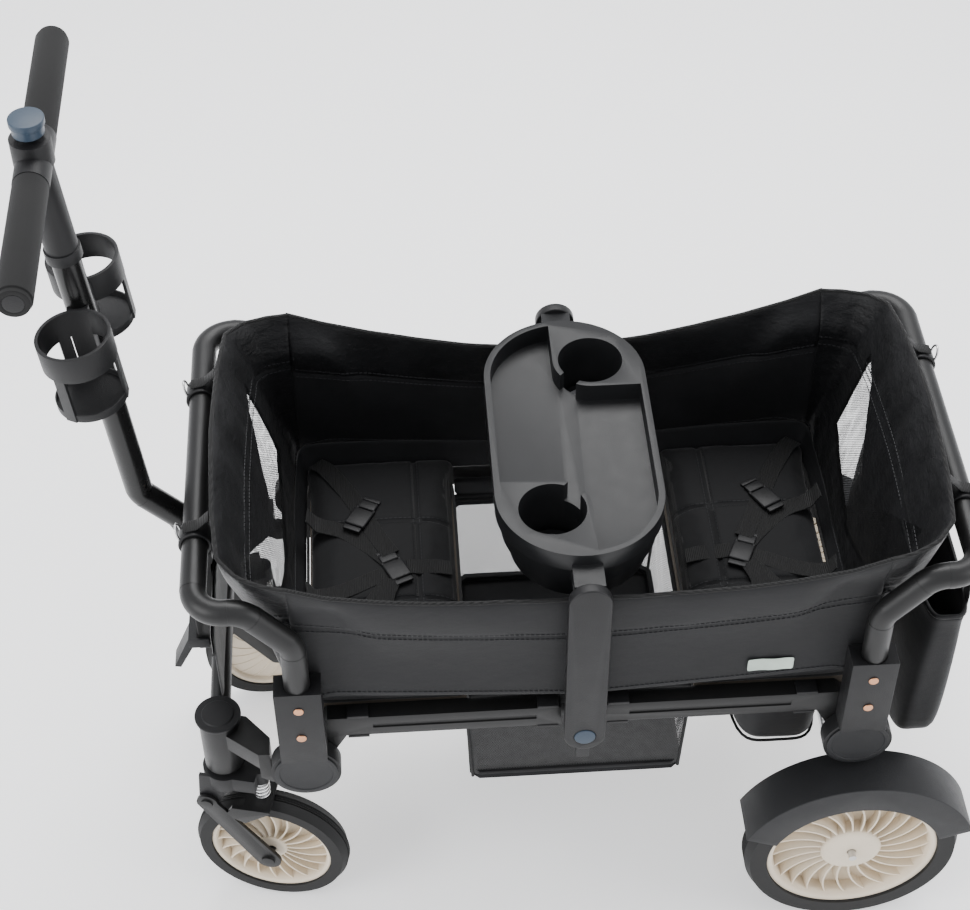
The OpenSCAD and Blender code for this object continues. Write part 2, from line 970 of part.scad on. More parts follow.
module handle_sleeve() {
    part("#141518") {
        difference() {
            union() {
                on_handle(985)
                    cylinder(h = 122, r = 18.5);
                on_handle(985)
                    cylinder(h = 14, r = 20.5);
                disc(handle_at(grip_z)[0], grip_z, 19.5, -42, 42);
                translate(handle_at(grip_z))
                    cylinder(h = 31, r = 22);
            }
            on_handle(980)
                cylinder(h = 96, r = handle_r + run);
            translate(handle_at(grip_z))
                cylinder(h = 40, r = 8 + run);
        }
        both()
            disc(handle_at(grip_z)[0], grip_z, 11, 41, grip_half);
    }
}

module handle_grips() {
    part("#2b2c2f")
        both()
            difference() {
                union() {
                    disc(handle_at(grip_z)[0], grip_z, grip_r, 42.2, grip_half - 6);
                    disc(handle_at(grip_z)[0], grip_z, grip_r - 2, grip_half - 7, grip_half);
                }
                disc(handle_at(grip_z)[0], grip_z, 11 + run, 40, grip_half + 1);
            }
}

module handle_knob() {
    part("#6f8494")
        translate(handle_at(grip_z)) {
            translate([0, 0, 10])
                cylinder(h = 30, r = 8);
            translate([0, 0, 37])
                cylinder(h = 14, r = 17);
            translate([0, 0, 48])
                cylinder(h = 8, r = 19);
        }
}

// the pedal that frees the handle so that it can be pulled down
module foot_pedal() {
    part("#2e3034") {
        slab(-26, 26)
            translate([pedal_x - 19, pedal_z - 8])
                square([11, 16]);
        slab(-14, 14)
            polygon([[pedal_x - 8, pedal_z + 4], [pedal_x - 10, pedal_z - 9], [pedal_x - 36, pedal_z - 61],
                [pedal_x - 44, pedal_z - 59], [pedal_x - 19, pedal_z]]);
        disc(pedal_x, pedal_z, 4, -24, 24);
        both()
            slab(22.5, 26)
                translate([pedal_x - 19, pedal_z - 8])
                    square([27, 16]);
    }
}

rear_frame();
rear_pods();
rear_hub_caps();
rear_rivets();
rear_legs();
rear_axle();
mudguards();
brake_pedal();
brake_pin_near();
brake_pin_far();
tub_rear();
storage_basket();
rear_rings();
rear_rails();
rear_collars();
rear_seat_board();
rear_cushion();
seat_box();
rear_tyre_near();
rear_tyre_far();
rear_disc_near();
rear_disc_far();
centre_brackets();
foot_well();
tray();
tray_arms();
cup_discs();
button_near();
button_far();
front_rails();
front_collars();
front_seat_board();
front_cushion();
front_frame();
front_pods();
front_hub_caps();
front_rivets();
front_cross();
caster_caps();
tub_front();
front_pocket();
front_rings();
yoke_near();
yoke_far();
link_near();
link_far();
spring_near();
spring_far();
front_tyre_near();
front_tyre_far();
front_disc_near();
front_disc_far();
handle_tube();
cup_holders();
handle_sleeve();
handle_grips();
handle_knob();
foot_pedal();
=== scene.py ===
# %% [markdown]
# # A kids pull wagon, dressed in Blender
#
# The folding frame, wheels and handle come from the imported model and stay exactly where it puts
# them. This notebook gives every visible surface its finish, and sews the soft parts: the tub, the
# cushions, the foot-well, the bags and the harness.

import json
import math

import bmesh
import bpy
from mathutils import Matrix, Vector, noise
from mathutils.bvhtree import BVHTree


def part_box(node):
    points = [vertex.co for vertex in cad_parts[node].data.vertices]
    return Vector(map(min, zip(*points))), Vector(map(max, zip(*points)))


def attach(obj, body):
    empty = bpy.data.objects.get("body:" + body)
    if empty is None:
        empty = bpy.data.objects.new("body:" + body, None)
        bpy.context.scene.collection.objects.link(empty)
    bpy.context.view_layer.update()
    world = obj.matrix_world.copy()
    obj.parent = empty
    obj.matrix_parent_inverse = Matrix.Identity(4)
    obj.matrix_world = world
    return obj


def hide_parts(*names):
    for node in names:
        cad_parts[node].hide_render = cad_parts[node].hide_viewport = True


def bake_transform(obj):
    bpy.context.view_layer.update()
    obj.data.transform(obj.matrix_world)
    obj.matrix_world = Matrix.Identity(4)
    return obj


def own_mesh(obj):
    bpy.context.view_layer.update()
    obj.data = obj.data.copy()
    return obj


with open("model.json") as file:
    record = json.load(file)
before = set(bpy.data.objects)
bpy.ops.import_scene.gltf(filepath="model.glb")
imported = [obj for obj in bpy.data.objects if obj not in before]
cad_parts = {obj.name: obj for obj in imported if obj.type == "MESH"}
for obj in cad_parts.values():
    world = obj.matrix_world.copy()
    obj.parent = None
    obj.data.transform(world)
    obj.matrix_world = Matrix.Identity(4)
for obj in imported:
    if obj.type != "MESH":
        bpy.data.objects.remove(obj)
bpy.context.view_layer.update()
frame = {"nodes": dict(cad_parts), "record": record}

# %% [markdown]
# Every place below is measured from the frame. The centre hinge gives the middle of the wagon, and
# mirror-image pieces share one function with a `side`, which is -1 on the near side.

# %% Places that the pieces share
def middle_of(node):
    low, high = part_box(node)
    return (Vector(low) + Vector(high)) / 2


def high_of(node):
    return Vector(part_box(node)[1])


def low_of(node):
    return Vector(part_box(node)[0])


MID_X = middle_of("button_near").x
MM = 0.001
print("middle", round(MID_X, 4))


def at(x, y, z):
    """A point in millimetres from the middle of the wagon, as metres in the frame."""
    return Vector((MID_X + x * MM, y * MM, z * MM))


SIDES = {"near": -1, "far": 1}
ENDS = {"rear": 1, "front": -1}


def end_name_of(end):
    return "rear" if end > 0 else "front"


# %% [markdown]
# The camera looks down on the wagon's near side from a little left of square on. Its turn is given
# as three plain angles, so the view can be read and changed without a matrix of numbers.

# %% Camera
def make_camera(place, heading, down, roll, lens):
    data = bpy.data.cameras.new("camera")
    data.lens = lens
    data.sensor_width = 36
    camera = bpy.data.objects.new("camera", data)
    bpy.context.scene.collection.objects.link(camera)
    turn = (
        Matrix.Rotation(math.radians(-heading), 4, "Z")
        @ Matrix.Rotation(math.radians(90 - down), 4, "X")
        @ Matrix.Rotation(math.radians(roll), 4, "Z")
    )
    camera.matrix_world = Matrix.Translation(place) @ turn
    bpy.context.scene.camera = camera
    return camera


camera = make_camera(at(-201.9, -1725.7, 2417.7), 3.21, 45.74, -0.523, 75.79)
print("camera at", [round(v, 3) for v in camera.location])


# %% [markdown]
# Black things show their shape only through what they reflect, so the light is three large soft
# panels: one broad panel overhead and a little behind, a wide one from the near left, and a dimmer
# fill from the right. A pale world lifts the shadows, as a white studio does.

# %% Studio light
def make_panel(name, place, target, size, watts):
    data = bpy.data.lights.new(name, "AREA")
    data.shape = "RECTANGLE"
    data.size, data.size_y = size
    data.energy = watts
    lamp = bpy.data.objects.new(name, data)
    bpy.context.scene.collection.objects.link(lamp)
    aim = (target - Vector(place)).to_track_quat("-Z", "Y").to_matrix().to_4x4()
    lamp.matrix_world = Matrix.Translation(Vector(place)) @ aim
    return lamp


centre = at(0, 0, 450)
make_panel("panel_top", (0.2, 1.3, 3.0), centre, (2.6, 1.6), 95)
make_panel("panel_left", (-2.6, -1.4, 2.0), centre, (1.8, 1.8), 60)
make_panel("panel_right", (2.5, -0.9, 1.7), centre, (1.6, 1.6), 30)

world = bpy.data.worlds.new("studio")
bpy.context.scene.world = world
world.use_nodes = True
world.node_tree.nodes["Background"].inputs["Color"].default_value = (0.95, 0.96, 1.0, 1)
world.node_tree.nodes["Background"].inputs["Strength"].default_value = 1.25
print("lights", len(bpy.data.lights))


# %% [markdown]
# Shader maths reads best as plain sums. `Value` wraps one output socket, so `1 - mask` or
# `grain * 0.3` adds the Math nodes by itself, and `Finish` makes any other node with one method.

# %% Shader helpers
class Value:
    def __init__(self, finish, socket):
        self.finish = finish
        self.socket = socket

    def _maths(self, operation, first, second):
        return self.finish.node("ShaderNodeMath", {"operation": operation}, [first, second])

    def __add__(self, other):
        return self._maths("ADD", self, other)

    def __radd__(self, other):
        return self._maths("ADD", other, self)

    def __sub__(self, other):
        return self._maths("SUBTRACT", self, other)

    def __rsub__(self, other):
        return self._maths("SUBTRACT", other, self)

    def __mul__(self, other):
        return self._maths("MULTIPLY", self, other)

    def __rmul__(self, other):
        return self._maths("MULTIPLY", other, self)

    def over(self, limit):
        return self._maths("GREATER_THAN", self, limit)

    def under(self, limit):
        return self._maths("LESS_THAN", self, limit)

    def sine(self):
        return self._maths("SINE", self, 0.0)

    def size(self):
        return self._maths("ABSOLUTE", self, 0.0)

    def most(self, other):
        return self._maths("MAXIMUM", self, other)


class Finish:
    """One material, with its Principled shader and its node-making method."""

    def __init__(self, name, **sockets):
        self.material = bpy.data.materials.new(name + "_look")
        self.material.use_nodes = True
        self.tree = self.material.node_tree
        self.shader = self.tree.nodes["Principled BSDF"]
        for key, value in sockets.items():
            self.shader.inputs[key.replace("_", " ")].default_value = value

    def node(self, kind, settings=None, values=None, out=0):
        made = self.tree.nodes.new(kind)
        for key, value in (settings or {}).items():
            if key == "stops":
                ramp = made.color_ramp.elements
                while len(ramp) < len(value):
                    ramp.new(0.5)
                for stop, (place, colour) in zip(ramp, value):
                    stop.position = place
                    stop.color = colour
            else:
                setattr(made, key, value)
        pairs = values.items() if isinstance(values, dict) else enumerate(values or [])
        for key, value in pairs:
            if isinstance(value, Value):
                self.tree.links.new(value.socket, made.inputs[key])
            elif value is not None:
                made.inputs[key].default_value = value
        return Value(self, made.outputs[out])

    def place(self):
        return self.node("ShaderNodeTexCoord", out="Object")

    def noise(self, scale, detail=3.0, rough=0.55, stretch=(1, 1, 1)):
        where = self.node("ShaderNodeMapping", {}, {"Vector": self.place(), "Scale": stretch})
        inputs = {"Vector": where, "Scale": scale, "Detail": detail, "Roughness": rough}
        return self.node("ShaderNodeTexNoise", {}, inputs, out="Fac")

    def along(self, axis):
        return self.node("ShaderNodeSeparateXYZ", {}, {"Vector": self.place()}, out=axis)

    def ramp(self, fac, stops):
        return self.node("ShaderNodeValToRGB", {"stops": stops}, {"Fac": fac})

    def feed(self, socket, value):
        self.tree.links.new(value.socket, self.shader.inputs[socket])

    def bump(self, height, strength=0.3, depth=0.001, under=None):
        inputs = {"Height": height, "Strength": strength, "Distance": depth, "Normal": under}
        return self.node("ShaderNodeBump", {}, inputs, out="Normal")


def grey(value, tint=(1.0, 1.0, 1.0)):
    return (value * tint[0], value * tint[1], value * tint[2], 1.0)


def blend_stops(dark, light, low=0.3, high=0.7):
    return [(low, dark), (high, light)]


# %% [markdown]
# The metal is powder coated: a fine pebble in the surface, nearly black, with a soft sheen. The
# moulded plastic has a coarser leather-like grain and is a touch lighter and duller. Both get a
# slow change of roughness, because a perfectly even black looks like a hole.

# %% Hard finishes
def coated_metal(name, tone, rough, grain):
    finish = Finish(name, Metallic=0.0, IOR=1.5, Coat_Roughness=0.25, Specular_IOR_Level=0.30)
    finish.shader.inputs["Coat Weight"].default_value = 0.06
    cloud = finish.noise(9.0, 4.0)
    finish.feed("Base Color", finish.ramp(cloud, blend_stops(grey(tone * 0.85), grey(tone * 1.2))))
    finish.feed("Roughness", finish.noise(38.0, 3.0) * 0.14 + (rough - 0.07))
    pebble = finish.noise(1500.0, 2.0)
    finish.feed("Normal", finish.bump(pebble, grain, 0.0004))
    return finish.material


def moulded(name, colour, rough, grain=0.35, scale=950.0):
    finish = Finish(name, IOR=1.48, Specular_IOR_Level=0.30)
    cloud = finish.noise(6.0, 5.0)
    dark = tuple(c * 0.86 for c in colour[:3]) + (1.0,)
    light = tuple(min(1.0, c * 1.12) for c in colour[:3]) + (1.0,)
    finish.feed("Base Color", finish.ramp(cloud, blend_stops(dark, light)))
    finish.feed("Roughness", finish.noise(55.0, 4.0) * 0.16 + (rough - 0.08))
    leather = finish.node(
        "ShaderNodeTexVoronoi", {"feature": "SMOOTH_F1"},
        {"Vector": finish.place(), "Scale": scale, "Smoothness": 0.6}, out="Distance")
    finish.feed("Normal", finish.bump(leather, grain, 0.0005))
    return finish.material


def bare_metal(name, tone, rough, tint=(1.0, 1.0, 1.0)):
    finish = Finish(name, Metallic=1.0)
    cloud = finish.noise(60.0, 3.0)
    stops = blend_stops(grey(tone * 0.9, tint), grey(tone, tint))
    finish.feed("Base Color", finish.ramp(cloud, stops))
    finish.feed("Roughness", finish.noise(420.0, 2.0, 0.5, (1, 1, 0.08)) * 0.2 + (rough - 0.1))
    return finish.material


frame_satin = coated_metal("frame_satin", 0.0075, 0.40, 0.30)
frame_gloss = coated_metal("frame_gloss", 0.005, 0.26, 0.10)
hub_black = moulded("hub_black", (0.0080, 0.0080, 0.0086), 0.46)
trim_grey = moulded("trim_grey", (0.012, 0.0124, 0.0134), 0.50)
tray_black = moulded("tray_black", (0.0075, 0.0078, 0.0084), 0.36, 0.22, 1300.0)
blue_grey = moulded("blue_grey", (0.030, 0.047, 0.070), 0.36, 0.12)
pale_grey = moulded("pale_grey", (0.27, 0.27, 0.28), 0.55, 0.2)
cream = moulded("cream", (0.70, 0.61, 0.48), 0.42, 0.10)
copper = bare_metal("copper", 0.60, 0.32, (1.0, 0.52, 0.30))
steel = bare_metal("steel", 0.62, 0.34)
spring_steel = bare_metal("spring_steel", 0.80, 0.22)
board_wood = moulded("board_wood", (0.13, 0.11, 0.09), 0.8)
print("hard finishes ready")

# %% [markdown]
# The tyres are foam rubber: dull, faintly speckled and a shade lighter where the tread has been
# on the ground. The hand grips are closed-cell foam, which has a much finer, softer tooth.

# %% Rubber and foam
def rubber(name, tone, rough, scale, depth):
    finish = Finish(name, IOR=1.45, Specular_IOR_Level=0.22)
    finish.shader.inputs["Sheen Weight"].default_value = 0.04
    finish.shader.inputs["Sheen Roughness"].default_value = 0.6
    speck = finish.noise(scale, 4.0, 0.7)
    dust = finish.noise(7.0, 5.0)
    colour = finish.ramp(dust * 0.7 + speck * 0.3, blend_stops(grey(tone * 0.8), grey(tone * 1.35)))
    finish.feed("Base Color", colour)
    finish.feed("Roughness", speck * 0.12 + (rough - 0.06))
    finish.feed("Normal", finish.bump(speck, depth, 0.0006))
    return finish.material


tyre_grey = rubber("tyre_grey", 0.014, 0.72, 420.0, 0.35)
foam = rubber("foam", 0.0085, 0.82, 1100.0, 0.5)
print("rubber ready")

# %% [markdown]
# Cloth is told apart by its weave and its shine. The tub's coated nylon is tight and glossy with
# crumple lines; the seat cloth is a duller twill; the spacer mesh has a net of small round pits,
# each darkened at its centre with painted shade; the windows are an open net that lets light
# through; the webbing has ribs across its run.

# %% Cloth finishes
def weave(finish, pitch, axes=("X", "Z")):
    """Height of a plain weave whose threads run along two object axes."""
    turns = 2 * math.pi / pitch
    first = (finish.along(axes[0]) * turns).sine()
    second = (finish.along(axes[1]) * turns).sine()
    return first * second


def cloth_finish(name, tone, rough, pitch, crumple, sheen, axes=("X", "Z"),
                 tint=(0.96, 0.98, 1.08)):
    finish = Finish(name, IOR=1.46, Specular_IOR_Level=0.28)
    finish.shader.inputs["Sheen Weight"].default_value = sheen * 0.3
    finish.shader.inputs["Sheen Roughness"].default_value = 0.4
    cloud = finish.noise(12.0, 5.0)
    colour = finish.ramp(cloud, blend_stops(grey(tone * 0.75, tint), grey(tone * 1.35, tint)))
    finish.feed("Base Color", colour)
    finish.feed("Roughness", cloud * 0.18 + (rough - 0.09))
    creases = finish.noise(16.0, 6.0, 0.62, (1.0, 1.0, 1.6))
    under = finish.bump(creases, crumple, 0.006)
    finish.feed("Normal", finish.bump(weave(finish, pitch, axes), 0.22, 0.0004, under))
    return finish


def cloth(*settings, **more):
    return cloth_finish(*settings, **more).material


def spacer_mesh(name, tone, pitch):
    finish = Finish(name, IOR=1.45)
    pits = finish.node(
        "ShaderNodeTexVoronoi", {"feature": "F1"},
        {"Vector": finish.place(), "Scale": 1.0 / pitch, "Randomness": 0.25}, out="Distance")
    # The colour is darkest at each pit's centre, where the bump is deepest: painted shade in the
    # pits.
    stops = blend_stops(grey(tone * 0.3), grey(tone), 0.1, 0.5)
    finish.feed("Base Color", finish.ramp(pits, stops))
    finish.shader.inputs["Roughness"].default_value = 0.85
    finish.feed("Normal", finish.bump(pits, 0.8, 0.002))
    return finish.material


def window_net(name, tone, pitch, axes, open_share):
    """Net with real holes: two sets of threads, and nothing between them."""
    finish = Finish(name, IOR=1.45)
    turns = math.pi / pitch
    first = (finish.along(axes[0]) * turns + finish.along(axes[1]) * turns).sine().size()
    second = (finish.along(axes[0]) * turns - finish.along(axes[1]) * turns).sine().size()
    thread = first.under(1 - open_share).most(second.under(1 - open_share))
    finish.feed("Alpha", thread)
    speck = finish.noise(80.0, 2.0)
    finish.feed("Base Color", finish.ramp(speck, blend_stops(grey(tone * 0.7), grey(tone))))
    finish.shader.inputs["Roughness"].default_value = 0.7
    return finish.material


def webbing(name, tone, pitch, axis="X"):
    finish = Finish(name, IOR=1.46)
    finish.shader.inputs["Sheen Weight"].default_value = 0.06
    finish.shader.inputs["Specular IOR Level"].default_value = 0.25
    ribs = (finish.along(axis) * (2 * math.pi / pitch)).sine()
    fuzz = finish.noise(300.0, 3.0)
    finish.feed("Base Color", finish.ramp(fuzz, blend_stops(grey(tone * 0.7), grey(tone * 1.4))))
    finish.shader.inputs["Roughness"].default_value = 0.62
    finish.feed("Normal", finish.bump(ribs + fuzz * 0.5, 0.5, 0.0008))
    return finish.material


nylon = cloth("nylon", 0.0050, 0.36, 0.0011, 0.55, 0.10)
panel_cloth = cloth("panel_cloth", 0.0072, 0.60, 0.0014, 0.22, 0.18)
seat_cloth = cloth("seat_cloth", 0.0050, 0.78, 0.0018, 0.25, 0.25, ("X", "Y"))
gusset = spacer_mesh("gusset", 0.016, 0.0036)
net_side = window_net("net_side", 0.05, 0.0034, ("X", "Z"), 0.62)
strap_cloth = webbing("strap_cloth", 0.0060, 0.0022)
piping_cloth = webbing("piping_cloth", 0.0050, 0.0016, "Z")
tag_cloth = cloth("tag_cloth", 0.46, 0.6, 0.0012, 0.1, 0.1, tint=(0.86, 1.0, 0.88))
print("cloth finishes ready")

# %% [markdown]
# Rigid parts come from the model with knife-sharp edges, which no moulding or casting has.
# `soften` copies a part, welds it, rounds its edges and lets the copy stand for the part, so each
# edge catches a thin highlight. The size of the round is the only thing that differs.

# %% Mesh helpers
def link(mesh, name):
    piece = bpy.data.objects.new(name, mesh)
    bpy.context.scene.collection.objects.link(piece)
    return piece


def new_mesh(name, points, faces, edges=()):
    mesh = bpy.data.meshes.new(name)
    mesh.from_pydata([tuple(p) for p in points], list(edges), faces)
    return mesh


def turn_out(mesh, merge=None):
    """Makes all faces look outwards, once points closer than merge have been made one."""
    work = bmesh.new()
    work.from_mesh(mesh)
    if merge:
        bmesh.ops.remove_doubles(work, verts=work.verts, dist=merge)
    bmesh.ops.recalc_face_normals(work, faces=work.faces)
    work.to_mesh(mesh)
    work.free()
    return mesh


def dress(piece, body, *materials, angle=35.0, flip=True):
    """Gives a finished mesh its materials, smooth shading and, when one is given, its body."""
    mesh = piece.data
    if flip:
        turn_out(mesh)
    for material in materials:
        mesh.materials.append(material)
    mesh.shade_smooth()
    mesh.set_sharp_from_angle(angle=math.radians(angle))
    if body:
        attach(piece, body)
    return piece


def bake(piece):
    """Turns a piece with modifiers into a plain mesh."""
    bpy.context.view_layer.update()
    graph = bpy.context.evaluated_depsgraph_get()
    mesh = bpy.data.meshes.new_from_object(piece.evaluated_get(graph))
    piece.modifiers.clear()
    piece.data = mesh
    return piece


def body_of(node):
    for name, nodes in frame["record"]["behaviour"]["bodies"].items():
        if node in nodes:
            return name


def soften(node, material, width=1.6, segments=3, limit=28.0):
    work = bmesh.new()
    work.from_mesh(frame["nodes"][node].data)
    bmesh.ops.remove_doubles(work, verts=work.verts, dist=2e-5)
    bmesh.ops.dissolve_limit(
        work, angle_limit=math.radians(0.6), verts=work.verts, edges=work.edges)
    mesh = bpy.data.meshes.new(node + "_soft")
    work.to_mesh(mesh)
    work.free()
    piece = link(mesh, node + "_soft")
    bevel = piece.modifiers.new("round", "BEVEL")
    bevel.width = width * MM
    bevel.segments = segments
    bevel.limit_method = "ANGLE"
    bevel.angle_limit = math.radians(limit)
    bevel.use_clamp_overlap = True
    bake(piece)
    piece.data.materials.clear()
    dress(piece, body_of(node), material, flip=False, angle=40.0)
    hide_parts(node)
    return piece


SOFTENED = [
    ("rear_pods", hub_black, 4.0), ("front_pods", hub_black, 4.0),
    ("rear_legs", frame_satin, 2.0), ("front_cross", frame_satin, 2.0),
    ("mudguards", trim_grey, 1.2), ("rear_rails", frame_satin, 3.0),
    ("front_rails", frame_satin, 3.0), ("rear_collars", hub_black, 0.6),
    ("front_collars", hub_black, 0.6), ("centre_brackets", hub_black, 1.6),
    ("tray_arms", hub_black, 5.0), ("yoke_near", hub_black, 3.0),
    ("yoke_far", hub_black, 3.0), ("link_near", frame_satin, 1.6),
    ("link_far", frame_satin, 1.6), ("caster_caps", hub_black, 1.4),
    ("cup_holders", hub_black, 1.2), ("handle_sleeve", hub_black, 2.0),
    ("handle_grips", foam, 2.6), ("foot_pedal", trim_grey, 2.0),
    ("brake_pedal", trim_grey, 2.0), ("rear_rings", hub_black, 1.2),
    ("front_rings", hub_black, 1.2), ("rear_hub_caps", trim_grey, 0.8),
    ("front_hub_caps", trim_grey, 0.8), ("rear_rivets", copper, 1.2),
    ("front_rivets", copper, 1.2), ("button_near", blue_grey, 1.2),
    ("button_far", blue_grey, 1.2), ("handle_knob", blue_grey, 3.0),
]
for node, material, width in SOFTENED:
    soften(node, material, width)
print("softened", len(SOFTENED))

# %% [markdown]
# Plain tubes and pins need no rounding, only a finish, so these nodes stay as they are.

# %% Nodes that keep their own mesh
KEPT = {
    "rear_frame": frame_satin, "front_frame": frame_satin, "handle_tube": frame_gloss,
    "rear_axle": steel, "brake_pin_near": steel, "brake_pin_far": steel,
    "rear_seat_board": board_wood, "front_seat_board": board_wood,
}
for node, material in KEPT.items():
    mesh = frame["nodes"][node].data
    mesh.materials.clear()
    mesh.materials.append(material)
print("kept", len(KEPT))


# %% [markdown]
# A wheel is turned on a lathe in spirit: one outline, spun about its axle. The outline is given as
# radius and distance along the axle. Spinning a closed loop needs no end caps.

# %% Spun shapes
def spin(name, outline, centre, axle, steps=96):
    """Closed outline of (radius, along) pairs in metres, spun about an axle through centre."""
    axle = Vector(axle).normalized()
    up = Vector((0, 0, 1)) if abs(axle.z) < 0.9 else Vector((1, 0, 0))
    side = axle.cross(up).normalized()
    up = side.cross(axle).normalized()
    verts, faces = [], []
    for i in range(steps):
        a = math.radians(360.0) * i / steps
        out = side * math.cos(a) + up * math.sin(a)
        verts += [centre + out * r + axle * d for r, d in outline]
    n = len(outline)
    for i in range(steps):
        j = (i + 1) % steps
        for k in range(n):
            m = (k + 1) % n
            faces.append((i * n + k, j * n + k, j * n + m, i * n + m))
    return link(turn_out(new_mesh(name, verts, faces), merge=1e-6), name)


def rounded(points, radius, steps=4):
    """Rounds every corner of a closed outline, by cutting it back and following a curve."""
    out = []
    n = len(points)
    for i in range(n):
        here = Vector(points[i])
        back, ahead = Vector(points[i - 1]) - here, Vector(points[(i + 1) % n]) - here
        cut = min(radius, back.length * 0.45, ahead.length * 0.45)
        a, b = here + back.normalized() * cut, here + ahead.normalized() * cut
        for k in range(steps + 1):
            t = k / steps
            out.append(tuple(a * (1 - t) ** 2 + here * 2 * t * (1 - t) + b * t ** 2))
    return out


def tyre_outline(radius, rim, half, grooves, round_off):
    """A tyre's section, with shallow grooves running round its tread."""
    pts = [(rim, -half), (radius - round_off * 0.55, -half),
           (radius - round_off * 0.1, -half + round_off)]
    tread = half - round_off
    for i in range(grooves):
        y = -tread + (i + 1) * 2 * tread / (grooves + 1)
        w = 0.0011
        pts += [(radius, y - 2 * w), (radius - 0.0022, y - w), (radius - 0.0022, y + w),
                (radius, y + 2 * w)]
    pts += [(radius - round_off * 0.1, half - round_off), (radius - round_off * 0.55, half),
            (rim, half)]
    return pts


print("lathe ready")

# %% [markdown]
# The cream wheel discs have blades like a turbine between a plain hub and a rim. Blades repeat, so
# Geometry Nodes copy one blade round the axle. The tree has named inputs for the count and the
# blade; it ends in Realize Instances and Set Material, and the result is turned into a plain mesh.

# %% Ring of blades
def open_tree(name, **inputs):
    """A tree that takes geometry and the named inputs, with its adder, its linker and its entry."""
    tree = bpy.data.node_groups.new(name, "GeometryNodeTree")
    face = tree.interface
    face.new_socket("Geometry", in_out="OUTPUT", socket_type="NodeSocketGeometry")
    for label, kind in {"Geometry": "Geometry", **inputs, "Finish": "Material"}.items():
        face.new_socket(label, in_out="INPUT", socket_type="NodeSocket" + kind)
    return tree, tree.nodes.new, tree.links.new, tree.nodes.new("NodeGroupInput")


def close_tree(tree, entry, spread):
    """Makes the copies real, gives them their finish and sends them out."""
    add, tie = tree.nodes.new, tree.links.new
    real, coat = add("GeometryNodeRealizeInstances"), add("GeometryNodeSetMaterial")
    leave = add("NodeGroupOutput")
    tie(spread.outputs[0], real.inputs[0])
    tie(real.outputs[0], coat.inputs["Geometry"])
    tie(entry.outputs["Finish"], coat.inputs["Material"])
    tie(coat.outputs[0], leave.inputs[0])
    return tree


def blade_ring_tree():
    tree, add, tie, entry = open_tree("blade_ring", Count="Int")
    line = add("GeometryNodeMeshLine")
    line.inputs["Offset"].default_value = (0, 0, 0)
    tie(entry.outputs["Count"], line.inputs["Count"])
    spread = add("GeometryNodeInstanceOnPoints")
    tie(line.outputs["Mesh"], spread.inputs["Points"])
    tie(entry.outputs["Geometry"], spread.inputs["Instance"])
    index = add("GeometryNodeInputIndex")
    step = add("ShaderNodeMath")
    step.operation = "DIVIDE"
    step.inputs[0].default_value = math.tau
    tie(entry.outputs["Count"], step.inputs[1])
    angle = add("ShaderNodeMath")
    angle.operation = "MULTIPLY"
    tie(index.outputs[0], angle.inputs[0])
    tie(step.outputs[0], angle.inputs[1])
    axis = add("ShaderNodeCombineXYZ")
    tie(angle.outputs[0], axis.inputs["Z"])
    tie(axis.outputs[0], spread.inputs["Rotation"])
    return close_tree(tree, entry, spread)


blade_ring = blade_ring_tree()


def set_inputs(modifier, **values):
    ids = {item.name: item.identifier for item in modifier.node_group.interface.items_tree
           if item.in_out == "INPUT"}
    for name, value in values.items():
        modifier[ids[name]] = value


def ring_of_blades(name, inner, outer, depth, thick, sweep, count, material):
    """One curved blade, from the hub to the rim, copied round the Z axis."""
    steps, verts, faces = 8, [], []
    for i in range(steps + 1):
        t = i / steps
        r = inner + (outer - inner) * t
        lean = math.radians(sweep) * t ** 1.6
        for u, w in ((-thick / 2, depth / 2), (thick / 2, depth / 2), (thick / 2, -depth / 2),
                     (-thick / 2, -depth / 2)):
            skew = (w / depth) * 0.0045
            a = lean + (u + skew) / r
            verts.append((r * math.cos(a), r * math.sin(a), w))
    for i in range(steps):
        for k in range(4):
            m = (k + 1) % 4
            faces.append((4 * i + k, 4 * i + 4 + k, 4 * i + 4 + m, 4 * i + m))
    faces += [(0, 1, 2, 3), (4 * steps + 3, 4 * steps + 2, 4 * steps + 1, 4 * steps)]
    piece = link(new_mesh(name, verts, faces), name)
    modifier = piece.modifiers.new("ring", "NODES")
    modifier.node_group = blade_ring
    set_inputs(modifier, Count=count, Finish=material)
    return bake(piece)


print("blade tree ready")

# %% [markdown]
# A wheel is a tyre, a rim, a hub and a thin web, each spun from its outline, with the ring of
# blades between rim and hub. One function makes all four, and the front two are turned to the
# casters' yaw.

# %% Wheels
def join(pieces, name):
    """Joins meshes, each already in place, keeping one material slot per material."""
    work = bmesh.new()
    slots = []
    for piece in pieces:
        mesh = piece.data
        index = [slots.index(m) if m in slots else (slots.append(m) or len(slots) - 1)
                 for m in mesh.materials]
        start = len(work.faces)
        work.from_mesh(mesh)
        work.faces.ensure_lookup_table()
        for face in work.faces[start:]:
            face.material_index = index[min(face.material_index, len(index) - 1)] if index else 0
    mesh = bpy.data.meshes.new(name)
    work.to_mesh(mesh)
    work.free()
    for piece in pieces:
        bpy.data.objects.remove(piece)
    made = link(mesh, name)
    for material in slots:
        mesh.materials.append(material)
    return made


def plain(piece, material):
    piece.data.materials.clear()
    piece.data.materials.append(material)
    return piece


def finish_piece(piece, body, slot_name, *nodes, angle=35.0, flip=False):
    dress(piece, body, angle=angle, flip=flip)
    if nodes:
        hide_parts(*nodes)
    return piece


